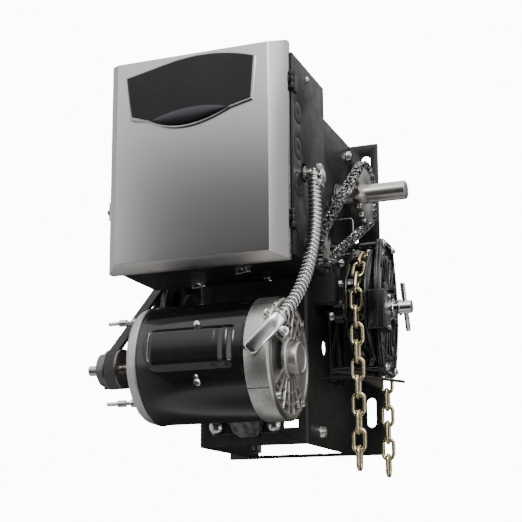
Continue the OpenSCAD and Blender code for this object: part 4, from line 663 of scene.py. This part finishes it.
def make_bell():
    """The cast drum and hub, joined by ribs and rings that leave a front window."""
    bell = bmesh.new()
    x0, x1 = BELL_BACK, BELL_END
    drum = [(x0, 67), (x0, BELL_R), (x1 - 4, BELL_R), (x1 - 1.2, BELL_R - 1.4), (x1, BELL_R - 4), (x1, 64),
            (x0 + 6, 64), (x0, 67)]
    hub = [(x0 + 8, 14), (x0 + 8, 25), (x1 - 8, 26), (x1 + 1.5, 24.5), (x1 + 3, 23), (x1 + 3, 19.8),
           (x1 - 3, 19.6), (x1 - 3, 14), (x0 + 8, 14)]
    for profile, steps in ((drum, BELL_STEPS), (hub, HUB_STEPS)):
        lathe(bell, profile, round_motor, steps)
        weld(bell)
    # the plain plate opposite the window
    arc_bar(bell, (x1 - 9, x1 - 0.8), (24, BELL_INNER), (VENTS[1], 360 - VENTS[1]), 30)
    for low, high in ((-VENTS[1], -VENTS[0]), VENTS):
        for r in VENT_RINGS:
            arc_bar(bell, (x1 - 7.5, x1 - 0.6), (r - VENT_RING, r + VENT_RING), (low, high), 40)
        for a in unit_rows(VENT_RIBS, low, high):
            spoke(bell, (x1 - 8, x1 - 0.3), (23.5, BELL_INNER), a, VENT_RIB)
    # the frame of the front window
    for a in (-WINDOW_ANGLE, WINDOW_ANGLE):
        spoke(bell, (x0 + 10, x1 - 0.2), (22, BELL_INNER), a, 2.2)
    arc_bar(bell, (x1 - 6, x1 - 0.2), (60.5, BELL_INNER), (-WINDOW_ANGLE, WINDOW_ANGLE))
    for side in (-1, 1):
        spoke(bell, (x1 - 8, x1 + 0.1), (20, BELL_INNER), 180 - side * 40, 2.0)
    piece("bell_right_cast", bell, "cast_alu", ("bell_right",), bevel=0.7)


def make_bell_highlight_seams_and_shade():
    """The bell's rim with a painted highlight, its casting seams, and black sheets behind its ribs and in its
    window that paint the shade there.
    """
    x0, x1 = BELL_BACK, BELL_END
    # a bright steel ring on the drum's rim: a painted highlight
    edge = bmesh.new()
    lathe(edge, [(x1 - 3.4, BELL_R - 0.5), (x1 - 3.0, BELL_R + 0.1), (x1 - 0.9, BELL_R - 1.9),
                 (x1 - 0.6, BELL_R - 2.6), (x1 - 2.4, BELL_R - 2.6), (x1 - 3.4, BELL_R - 0.5)],
          round_motor, BELL_STEPS)
    weld(edge)
    piece("bell_right_painted_highlight", edge, "bright_steel", split=40)
    seams = bmesh.new()
    for a in (-35, 52):
        arc_bar(seams, (x0 + 0.5, x1 - 3.5), (BELL_R - 1, BELL_R + 0.12), (a, a + 0.9), 2)
    piece("bell_right_seams", seams, "cast_black", split=30)
    # black sheets behind the ribs, in the window and beside the hub: painted shade
    shade_sheets = bmesh.new()
    for low, high in ((-VENTS[1], -40), (40, VENTS[1])):
        arc_bar(shade_sheets, (x1 - 9, x1 - 6.8), (25.5, 65), (low, high), 40)
    arc_bar(shade_sheets, (x0 + 2, x1 - 6.5), (61.5, 63.7), (-36, 36))
    arc_bar(shade_sheets, (x0 + 2, x1 - 5.5), (27.5, 60.2), (-35, 35))
    arc_bar(shade_sheets, (x1 - 6, x1 - 1.5), (25.2, 27.4), (-38, 38))
    piece("bell_right_painted_shade", shade_sheets, "cast_black", split=40)


def make_bearing_cap():
    """The domed cap over the shaft's end, dished at its middle."""
    x1 = BELL_END
    profile = [(x1 + 2, 19.4), (x1 + 12, 19.4), (x1 + 13.4, 18.6), (x1 + 14, 17.6), (x1 + 14, 16.6),
               (x1 + 12.9, 15.8)]
    cap = bmesh.new()
    rows = lathe(cap, profile, round_motor, HUB_STEPS)
    cap.faces.new([row[-1] for row in rows])
    cap.faces.new([row[0] for row in reversed(rows)])
    piece("bearing_cap_cast", cap, "cast_alu", ("bearing_cap",), split=30)


# Box fitting: locknut, ribbed elbow, round cap and two clamp screws on the box side
BOX_FITTING = (110, -286, 314)
BOX_SIDE = 97.8
FITTING_RIBS, FITTING_PITCH = 5, 3.1
FITTING_PEGS = ((-10, -2, 6.2, 8, 32), (5, -7, 6.5, 7, 32),
                (9.5, -7, 8.6, 2.4, 40))  # offset right and up, radius, height and sides
FITTING_CLAMPS = ((2.6, 4.4), (-16.5, 3.4))  # offset up and half height
CLAMP_AIM = (0.2, -1, 0)
FITTING_SCREWS = (((7, -6, 3.2), CLAMP_AIM, 3.0, 2), ((7, -6, -17), CLAMP_AIM, 2.7, 2),
                  ((11.6, 0, -7), RIGHT, 3.2, 1.4))  # offset, aim, radius and height


def make_box_fitting():
    """The fitting's flange, ribbed elbow, clamp and screws."""
    x, y, h = BOX_FITTING

    def upright(w, r, a):
        """A point round the elbow's upright axis."""
        a = math.radians(a)
        return at(x + r * math.cos(a), y + r * math.sin(a), w)

    nut = bmesh.new()
    peg(nut, at(BOX_SIDE, y, h - 2), RIGHT, 9.5, 2.4, 40)
    piece("box_fitting_flange", nut, "dark_steel", split=30)
    ribs = bmesh.new()
    profile = [(h - 13, 6.5)]
    for k in range(FITTING_RIBS):
        low, r = h - 13 + FITTING_PITCH * k, 8.1 - 0.13 * k ** 2
        profile += [(low + 0.3, r - 1.4), (low + 0.8, r - 0.3), (low + 1.6, r), (low + 2.4, r - 0.3),
                    (low + 2.9, r - 1.4)]
    profile += [(h + 3.2, 4.6), (h + 4.0, 2.6), (h + 4.2, 0.6)]
    grid = lathe(ribs, profile, upright, 48)
    ribs.faces.new([row[-1] for row in grid])
    piece("box_fitting", ribs, "zinc", ("box_connector",), split=60)
    cap = bmesh.new()
    for out, rise, radius, height, sides in FITTING_PEGS:
        peg(cap, at(x + out, y, h + rise), RIGHT, radius, height, sides)
    for rise, reach in FITTING_CLAMPS:
        slab(cap, lambda u, v, w: at(x + 7 + v * 0.6, y + w - 6, h + rise + u), reach, 5, 1, (0, 12))
    piece("box_fitting_clamp", cap, "bright_steel", bevel=0.3)
    screws = bmesh.new()
    for (out, back, rise), aim, radius, height in FITTING_SCREWS:
        cross_screw(screws, at(x + out, y + back, h + rise), aim, radius, height)
    piece("box_fitting_screws", screws, "bright_steel", split=30)


# Motor fitting: a die-cast squeeze connector with a raised lid and two lugs
FITTING_ENDS = (57, -361, 93), (80, -348, 121)
FITTING_FRONT = Vector((0.30, -1.0, -0.15))
FITTING_LOOPS = ((-5, 5.5, 5, 2.5), (-3.5, 7.5, 7, 3), (0, 8.6, 8.4, 3), (34, 9.4, 9.4, 3.4),
                 (38, 9.8, 9.6, 4), (47, 9.8, 9.6, 5), (49.5, 9.0, 8.8, 5))  # place, half sizes and corner
FITTING_LUGS = ((14.2, 39, 5.6, 3.4), (-13.2, 41, 4.6, 3.0))  # side, place, radius and screw


def make_motor_fitting():
    """The connector's body, its raised lid, and the two lugs with their screws."""
    low, high = (at(*end) for end in FITTING_ENDS)
    ahead = (high - low).normalized()
    front = (FITTING_FRONT - ahead * FITTING_FRONT.dot(ahead)).normalized()
    side = ahead.cross(front)

    def place(u, v, w):
        """A point at so much to the side, to the front and along the fitting."""
        return low + (side * u + front * v + ahead * w) * MM

    lid = bmesh.new()
    slab(lid, lambda u, v, w: place(u, w, 17 + v), 6.4, 17.5, 1.2, (6.6, 8.9, 9.4), (0, 0, 0.6))
    piece("motor_fitting_lid", lid, "shadow_chrome", bevel=0.3)
    body, screws = bmesh.new(), bmesh.new()
    block_of(body, [[place(a, b, w) for a, b in rounded_loop(u, v, r)] for w, u, v, r in FITTING_LOOPS])
    for u, w, radius, head in FITTING_LUGS:
        peg(body, place(u, -4, w), front, radius, 12.5)
        slab(body, lambda a, b, c: place(u * 0.65 + a, b + 1.0, w + c - 4), 5.5, 4.0, 1.0, (0, 8))
        cross_screw(screws, place(u, 8.4, w), front, head, 2.0)
    piece("motor_fitting", body, "bright_steel", ("motor_connector",), bevel=0.3)
    piece("motor_fitting_screws", screws, "bright_steel", split=30)


# Hoist guard: an oval casting with a raised rim, ribs, a bearing and a terminal block
CLUTCH_Y, CLUTCH_H = -96.61, 181.83
GUARD_QUARTER = [(48, 0), (47, 18), (44, 36), (39, 55), (34, 70), (31, 82), (23, 89), (8, 89.5)]
GUARD_PLATE = ((139, 0.97), (139.8, 1.0), (143.6, 1.0), (144.4, 0.985))  # place and share of the outline
GUARD_RIM = ((143.8, 1.0), (147.4, 1.0), (148.2, 0.985), (148.2, 0.945), (147.4, 0.93), (143.8, 0.93))
GUARD_RIDGE = ((144, 0.78), (146.6, 0.76), (147.2, 0.74), (147.2, 0.71), (146.6, 0.69), (144, 0.67))
GUARD_BEARING = [(143.5, 14), (143.5, 27), (147, 26), (150, 23), (150.8, 21.5), (150.8, 16), (149, 14)]
GUARD_RIB = ((143.8, 1.9), (147.4, 1.4), (147.8, 0.9))  # place and half width
GUARD_RIB_REACH, GUARD_RIB_STEP = (24, 70), 14  # radii, and angle from one to the next
GUARD_BLOCKS = (((-150, 168), (18, 25, 2), (139, 158.6, 159.8), 1.2),
                ((-118, 181), (9, 30, 3), (144, 150, 150.8), 0.8))  # centre, half sizes, places and chamfer
STUD_Y, STUD_HEIGHTS = -110, (160, 202)
RIM_SCREWS = (84, (75, 105, 255, 285))  # radius and angles
TERMINALS = (-141, (148, 188))


def round_clutch(x, r, a):
    """A point round the clutch shaft's axis; angle 0 faces the wall, and up is positive."""
    a = math.radians(a)
    return at(x, CLUTCH_Y + r * math.cos(a), CLUTCH_H + r * math.sin(a))


def softened(points):
    """A closed outline with its corners cut twice, so that they look round."""
    for _ in range(2):
        cut = []
        for (x0, y0), (x1, y1) in zip(points, points[1:] + points[:1]):
            for near, far in ((0.75, 0.25), (0.25, 0.75)):
                cut.append((near * x0 + far * x1, near * y0 + far * y1))
        points = cut
    return points


def guard_rib(mesh, a):
    """A tapered radial rib on the guard."""
    c, n = math.cos(math.radians(a)), math.sin(math.radians(a))
    low, high = GUARD_RIB_REACH
    block_of(mesh, [[at(x, CLUTCH_Y + r * c - side * half * n, CLUTCH_H + r * n + side * half * c)
                     for r, side in ((low, -1), (high, -1), (high, 1), (low, 1))] for x, half in GUARD_RIB])


def make_guard():
    """The oval casting: plate, rim, ridge, bearing, ribs and two blocks."""
    top = GUARD_QUARTER + [(-y, z) for y, z in reversed(GUARD_QUARTER)]
    outline = softened(top + [(y, -z) for y, z in reversed(top) if z > 0])

    def loops(places):
        """The outline at each place, at its share of the full size."""
        return [[at(x, CLUTCH_Y + y * share, CLUTCH_H + z * share) for y, z in outline]
                for x, share in places]

    guard = bmesh.new()
    block_of(guard, loops(GUARD_PLATE))
    for ridge in (GUARD_RIM, GUARD_RIDGE):
        skin(guard, loops(ridge), close_u=True, close_v=True)
    lathe(guard, GUARD_BEARING, round_clutch, 64)
    for middle in (90, 270):
        for step in range(-2, 3):
            guard_rib(guard, middle + step * GUARD_RIB_STEP)
    for (y, h), sizes, places, chamfer in GUARD_BLOCKS:
        slab(guard, lambda u, v, w: at(w, y + u, h + v), *sizes, places, (0, 0, chamfer))
    piece("guard_casting", guard, "guard_black", ("chain_guard",), bevel=0.4)


def make_guard_fixings():
    """The studs of the guard's block, and its rim's and terminals' screws."""
    studs = bmesh.new()
    for h in STUD_HEIGHTS:
        peg(studs, at(149, STUD_Y, h), RIGHT, 3.6, 7, 24)
        peg(studs, at(156, STUD_Y, h), RIGHT, 5.6, 5.4, 30, 0.3)
    piece("guard_studs", studs, "guard_black", split=30)
    screws = bmesh.new()
    reach, angles = RIM_SCREWS
    for a in angles:
        spot = round_clutch(147.4, reach, a)
        peg(screws, spot, RIGHT, 5.6, 2.2, 6)
        peg(screws, spot, RIGHT, 3.3, 5, 20, 0.2)
    y, heights = TERMINALS
    for h in heights:
        peg(screws, at(159.4, y, h), RIGHT, 2.6, 1.8, 20, 0.3)
    piece("guard_screws", screws, "bright_steel", split=30)


# Capacitor cover: a pressed shell with two beads near its right end and a flat lower flange
SHELL_R = 71.0
COVER_FOOT = SHELL_R + 0.1
COVER_LEFT = [(-23, -50), (-22, -51), (-11, -69.5), (2, -75.5), (10, -76.5), (19, -75), (24, -72),
              (26.5, -67)]  # left end by angle
COVER_RIGHT = 45.5
COVER_ANGLES = (-22.7, 26.5)
COVER_PRESS = [(-77, 0.0), (-71, 0.55), (-62, 1.0), (10, 1.0), (18, 0.76), (27, 1.0), (38, 0.2),
               (46, 0.05)]  # share of the pressed height by place
COVER_LOW, COVER_PRESSED = 1.5, 6.6
COVER_RISE, COVER_FALL = (-15.5, -6.5), (19.5, 26.5)  # angles of the pressed part's lower and upper slopes
COVER_RAMP = 9  # length of its left slope
COVER_STEPS = (61, 121)  # round and along
COVER_SCREWS = ((-12.5, 30.5, -0.2, 4.1, 3.2), (-10.5, -26, -0.2, 4.1, 3.2),
                (-10.5, -20.5, 0.4, 2.6, 3.0))  # place, angle, lift, radius and height


def smooth_step(low, high, value):
    """0 at low and 1 at high, with soft ends."""
    t = min(1.0, max(0.0, (value - low) / (high - low)))
    return t * t * (3 - 2 * t)


def curve_at(stops, value):
    """Smooth value through (place, height) stops."""
    for (x0, y0), (x1, y1) in zip(stops, stops[1:]):
        if value <= x1:
            return y0 + (y1 - y0) * smooth_step(x0, x1, value)
    return stops[-1][1]


def cover_height(x, a):
    """Height of the pressed cover over the motor's shell."""
    left = curve_at(COVER_LEFT, a)
    across = smooth_step(*COVER_RISE, a) * (1 - smooth_step(*COVER_FALL, a))
    along = curve_at(COVER_PRESS, x) * smooth_step(left, left + COVER_RAMP, x)
    return COVER_LOW + COVER_PRESSED * across * along


def cover_places(a):
    """Places along the cover at an angle, from its left end to its right."""
    left = curve_at(COVER_LEFT, a)
    return [left + (COVER_RIGHT - left) * t for t in unit_rows(COVER_STEPS[1])]


def cover_border(a):
    """A long border of the cover, down on the motor's shell."""
    row = [round_motor(x, COVER_FOOT, a) for x in cover_places(a)]
    return [row[0]] + row + [row[-1]]


def make_capacitor_cover():
    """The pressed cover, closed down to the motor's shell all round, and its three screws."""
    rows = [cover_border(COVER_ANGLES[0])]
    for a in unit_rows(COVER_STEPS[0], *COVER_ANGLES):
        places = cover_places(a)
        first, last = round_motor(places[0] - 0.3, COVER_FOOT, a), round_motor(COVER_RIGHT, COVER_FOOT, a)
        rows.append([first] + [round_motor(x, SHELL_R + cover_height(x, a), a) for x in places] + [last])
    rows.append(cover_border(COVER_ANGLES[1]))
    shell = bmesh.new()
    skin(shell, rows)
    weld(shell, 10 * PIECE_WELD)
    bmesh.ops.dissolve_degenerate(shell, edges=shell.edges, dist=PIECE_WELD)
    piece("capacitor_shell", shell, "gloss_black", ("capacitor_cover",), split=50)
    screws = bmesh.new()
    for x, a, lift, radius, height in COVER_SCREWS:
        out = round_motor(x, 1, a) - round_motor(x, 0, a)
        cross_screw(screws, round_motor(x, SHELL_R + lift, a), out, radius, height)
    piece("capacitor_screws", screws, "zinc", split=30)


# Painted shade behind the pulley's holes, and the motor base
# a thin black disc behind the pulley's holes: painted shade
SHADE_DISC_X, SHADE_DISC_R = (-145.4, -144.6), 60
BASE_FACE = -209.3
SADDLE_X = -6
SADDLE_ROWS = ((9.5, 14, 0.2), (11, 16.5, 3.5), (15, 19.5, 8), (21, 22, 12), (28, 25, 17),
               (36, 29, 28))  # height, half width and bulge
SADDLE_TURN = 1.5  # how far its sides turn back, and how far they lift
SADDLE_STEPS = 25
# a thin bright tube along the plate's edge: a painted highlight
HIGHLIGHT_LINE = [(-54.2, 40), (-54.2, 21), (-53, 17.4), (-50, 15), (32, 15), (35, 17.4), (36.2, 21), (36.2, 40)]
HIGHLIGHT_R, HIGHLIGHT_LAP = 0.8, 0.3


def make_pulley_shade_disc():
    """A thin black disc in the large pulley, behind its lightening holes: painted shade seen through them."""
    mesh = bmesh.new()
    block_of(mesh, [ring(at(x, CLUTCH_Y, CLUTCH_H), -FRONT, UP, SHADE_DISC_R, 48) for x in SHADE_DISC_X])
    piece("drive_pulley_shade_disc", mesh, "cast_black", body="clutch_shaft_group", split=30)


def make_base_saddle():
    """The pressed saddle of the motor base, turned back along its two sides."""
    rows = []
    for h, half, out in SADDLE_ROWS:
        row = []
        for u in unit_rows(SADDLE_STEPS, -1, 1):
            edge = 1 - abs(u) ** 5
            row.append(at(SADDLE_X + half * u, BASE_FACE - out * edge ** 0.6, h + SADDLE_TURN * (1 - edge)))
        back = FRONT * -SADDLE_TURN * MM
        rows.append([row[0] + back] + row + [row[-1] + back])
    saddle = bmesh.new()
    skin(saddle, rows)
    piece("motor_base_saddle", saddle, "worn_black", split=0)


def make_base_highlight():
    """A thin bright tube round the motor base's plate: a painted highlight along its edge."""
    highlight_tube = bmesh.new()
    for (x0, h0), (x1, h1) in zip(HIGHLIGHT_LINE, HIGHLIGHT_LINE[1:]):
        a, b = at(x0, BASE_FACE, h0), at(x1, BASE_FACE, h1)
        along = (b - a).normalized()
        side, lap = FRONT.cross(along), along * HIGHLIGHT_LAP * MM
        block_of(highlight_tube, [ring(end, side, FRONT, HIGHLIGHT_R, 8) for end in (a - lap, b + lap)])
    piece("motor_base_painted_highlight", highlight_tube, "bright_steel", split=40)


for make_part in (make_badge, make_badge_lens, make_conduit, make_conduit_groove_shade, make_bell, make_bell_highlight_seams_and_shade,
                  make_bearing_cap, make_box_fitting, make_motor_fitting, make_guard, make_guard_fixings,
                  make_capacitor_cover, make_pulley_shade_disc, make_base_saddle, make_base_highlight):
    make_part()


# Stage
FLOOR, FLOOR_SIZE = -0.62, 9


def make_stage():
    """A pale floor well below the hanging operator."""
    mesh = bmesh.new()
    bmesh.ops.create_grid(mesh, x_segments=1, y_segments=1, size=FLOOR_SIZE)
    data = bpy.data.meshes.new("floor")
    mesh.to_mesh(data)
    mesh.free()
    floor = bpy.data.objects.new("floor", data)
    floor.location = (0, 0, FLOOR)
    bpy.context.scene.collection.objects.link(floor)
    s = Shader("floor")
    s.set(Base_Color=s.ramp(s.noise(2), [(0.3, grey(0.86)), (0.7, grey(0.9))]), Roughness=0.8)
    data.materials.append(s.material)
    floor.visible_glossy = False


# Light
SKY = [  # brightness by height: 0 straight down, 0.5 level, 1 straight up
    (0.0, 0.2), (0.05, 0.6), (0.09, 0.75), (0.13, 0.15), (0.2, 0.04), (0.42, 0.02), (0.5, 0.05), (0.525, 0.2),
    (0.555, 0.10), (0.60, 0.17), (0.65, 0.28), (0.70, 0.8), (0.8, 1.3), (1.0, 1.5),
]
LEFT_WALL, RIGHT_WALL = 0.62, 0.55
STRIPS = ((0.66, 0.8, 2.5), (-0.8, -0.66, 1.7))  # tall strips ahead of the object: from, to and strength
STRIP_EDGE = 0.05
SOFTBOXES = (((0.3, -0.72, 0.62), 9, 13), ((0.75, -0.6, -0.3), 6, 9))  # aim, half angle and strength
SOFTBOX_EDGE = 2
BACKDROP = 12.0
LAMPS = (  # name, place, aim, size and watts
    ("right", (1.7, -0.9, 0.35), (0.05, -0.2, 0), (0.5, 1.4), 12),
    ("left", (-1.6, -1.0, -0.1), (0, -0.2, -0.05), (0.3, 1.4), 8),
    ("low", (-0.4, -1.3, -0.55), (0, -0.25, -0.1), (0.9, 0.25), 9),
)


def area_light(name, place, aim, size, power):
    """A soft rectangular lamp, aimed at a point."""
    data = bpy.data.lights.new(name, "AREA")
    data.shape = "RECTANGLE"
    data.size, data.size_y = size
    data.energy = power
    lamp = bpy.data.objects.new(name, data)
    lamp.location = place
    lamp.visible_glossy = False
    lamp.rotation_euler = (Vector(aim) - Vector(place)).to_track_quat("-Z", "Y").to_euler()
    bpy.context.scene.collection.objects.link(lamp)


class Sky(Nodes):
    """The studio around the object, drawn by direction."""

    def __init__(self):
        self.world = bpy.data.worlds.new("studio")
        super().__init__(self.world)
        self.tree.nodes.clear()
        self.ahead = self.add("TexCoord").outputs["Generated"]
        split = self.add("SeparateXYZ", Vector=self.ahead)
        self.x, self.y, self.z = (split.outputs[axis] for axis in "XYZ")

    def ease(self, value, low, high):
        """0 at low and 1 at high, with soft ends."""
        node = self.add("MapRange", Value=value, From_Min=low, From_Max=high)
        node.interpolation_type = "SMOOTHSTEP"
        return node.outputs["Result"]

    def product(self, *factors):
        """All the factors multiplied."""
        total = factors[0]
        for factor in factors[1:]:
            node = self.add("Math")
            node.operation = "MULTIPLY"
            self.plug(node.inputs[0], total)
            self.plug(node.inputs[1], factor)
            total = node.outputs[0]
        return total

    def facing(self, aim):
        """1 toward the aim, falling with the angle from it."""
        node = self.add("VectorMath")
        node.operation = "DOT_PRODUCT"
        self.plug(node.inputs[0], self.ahead)
        node.inputs[1].default_value = Vector(aim).normalized()
        return node.outputs["Value"]

    def blend(self, factor, a, b):
        """Blends two brightnesses."""
        node = self.add("Mix", Factor=factor)
        self.plug(node.inputs[FLOAT_A], a)
        self.plug(node.inputs[FLOAT_B], b)
        return node.outputs[FLOAT_OUT]


def make_light():
    """A studio with a bright ceiling, a dim horizon, side walls, strips, soft boxes and a white backdrop."""
    sky = Sky()
    height = sky.add("MapRange", Value=sky.z, From_Min=-1.0).outputs["Result"]
    level = sky.ramp(height, [(place, grey(value)) for place, value in SKY], "EASE")
    level = sky.blend(sky.ease(sky.x, -0.5, -0.85), level, LEFT_WALL)
    right = sky.product(sky.ease(sky.x, 0.45, 0.85), sky.ease(sky.y, 0.45, 0.0))
    level = sky.blend(right, level, RIGHT_WALL)
    for low, high, strength in STRIPS:
        strip = sky.product(sky.ease(sky.x, low - STRIP_EDGE, low), sky.ease(sky.x, high + STRIP_EDGE, high),
                            sky.ease(sky.y, 0.0, -0.2), sky.ease(sky.z, -0.15, 0.05))
        level = sky.blend(strip, level, strength)
    for aim, wide, strength in SOFTBOXES:
        outer, inner = (math.cos(math.radians(a)) for a in (wide + SOFTBOX_EDGE, wide))
        level = sky.blend(sky.ease(sky.facing(aim), outer, inner), level, strength)
    studio = sky.add("Background", Color=level, Strength=1.0)
    backdrop = sky.add("Background", Color=(1, 1, 1, 1), Strength=BACKDROP)
    mix = sky.add("MixShader", Fac=sky.add("LightPath").outputs["Is Camera Ray"])
    sky.plug(mix.inputs[1], studio.outputs["Background"])
    sky.plug(mix.inputs[2], backdrop.outputs["Background"])
    sky.add("OutputWorld", Surface=mix.outputs["Shader"])
    bpy.context.scene.world = sky.world
    for lamp in LAMPS:
        area_light(*lamp)


make_stage()
make_light()
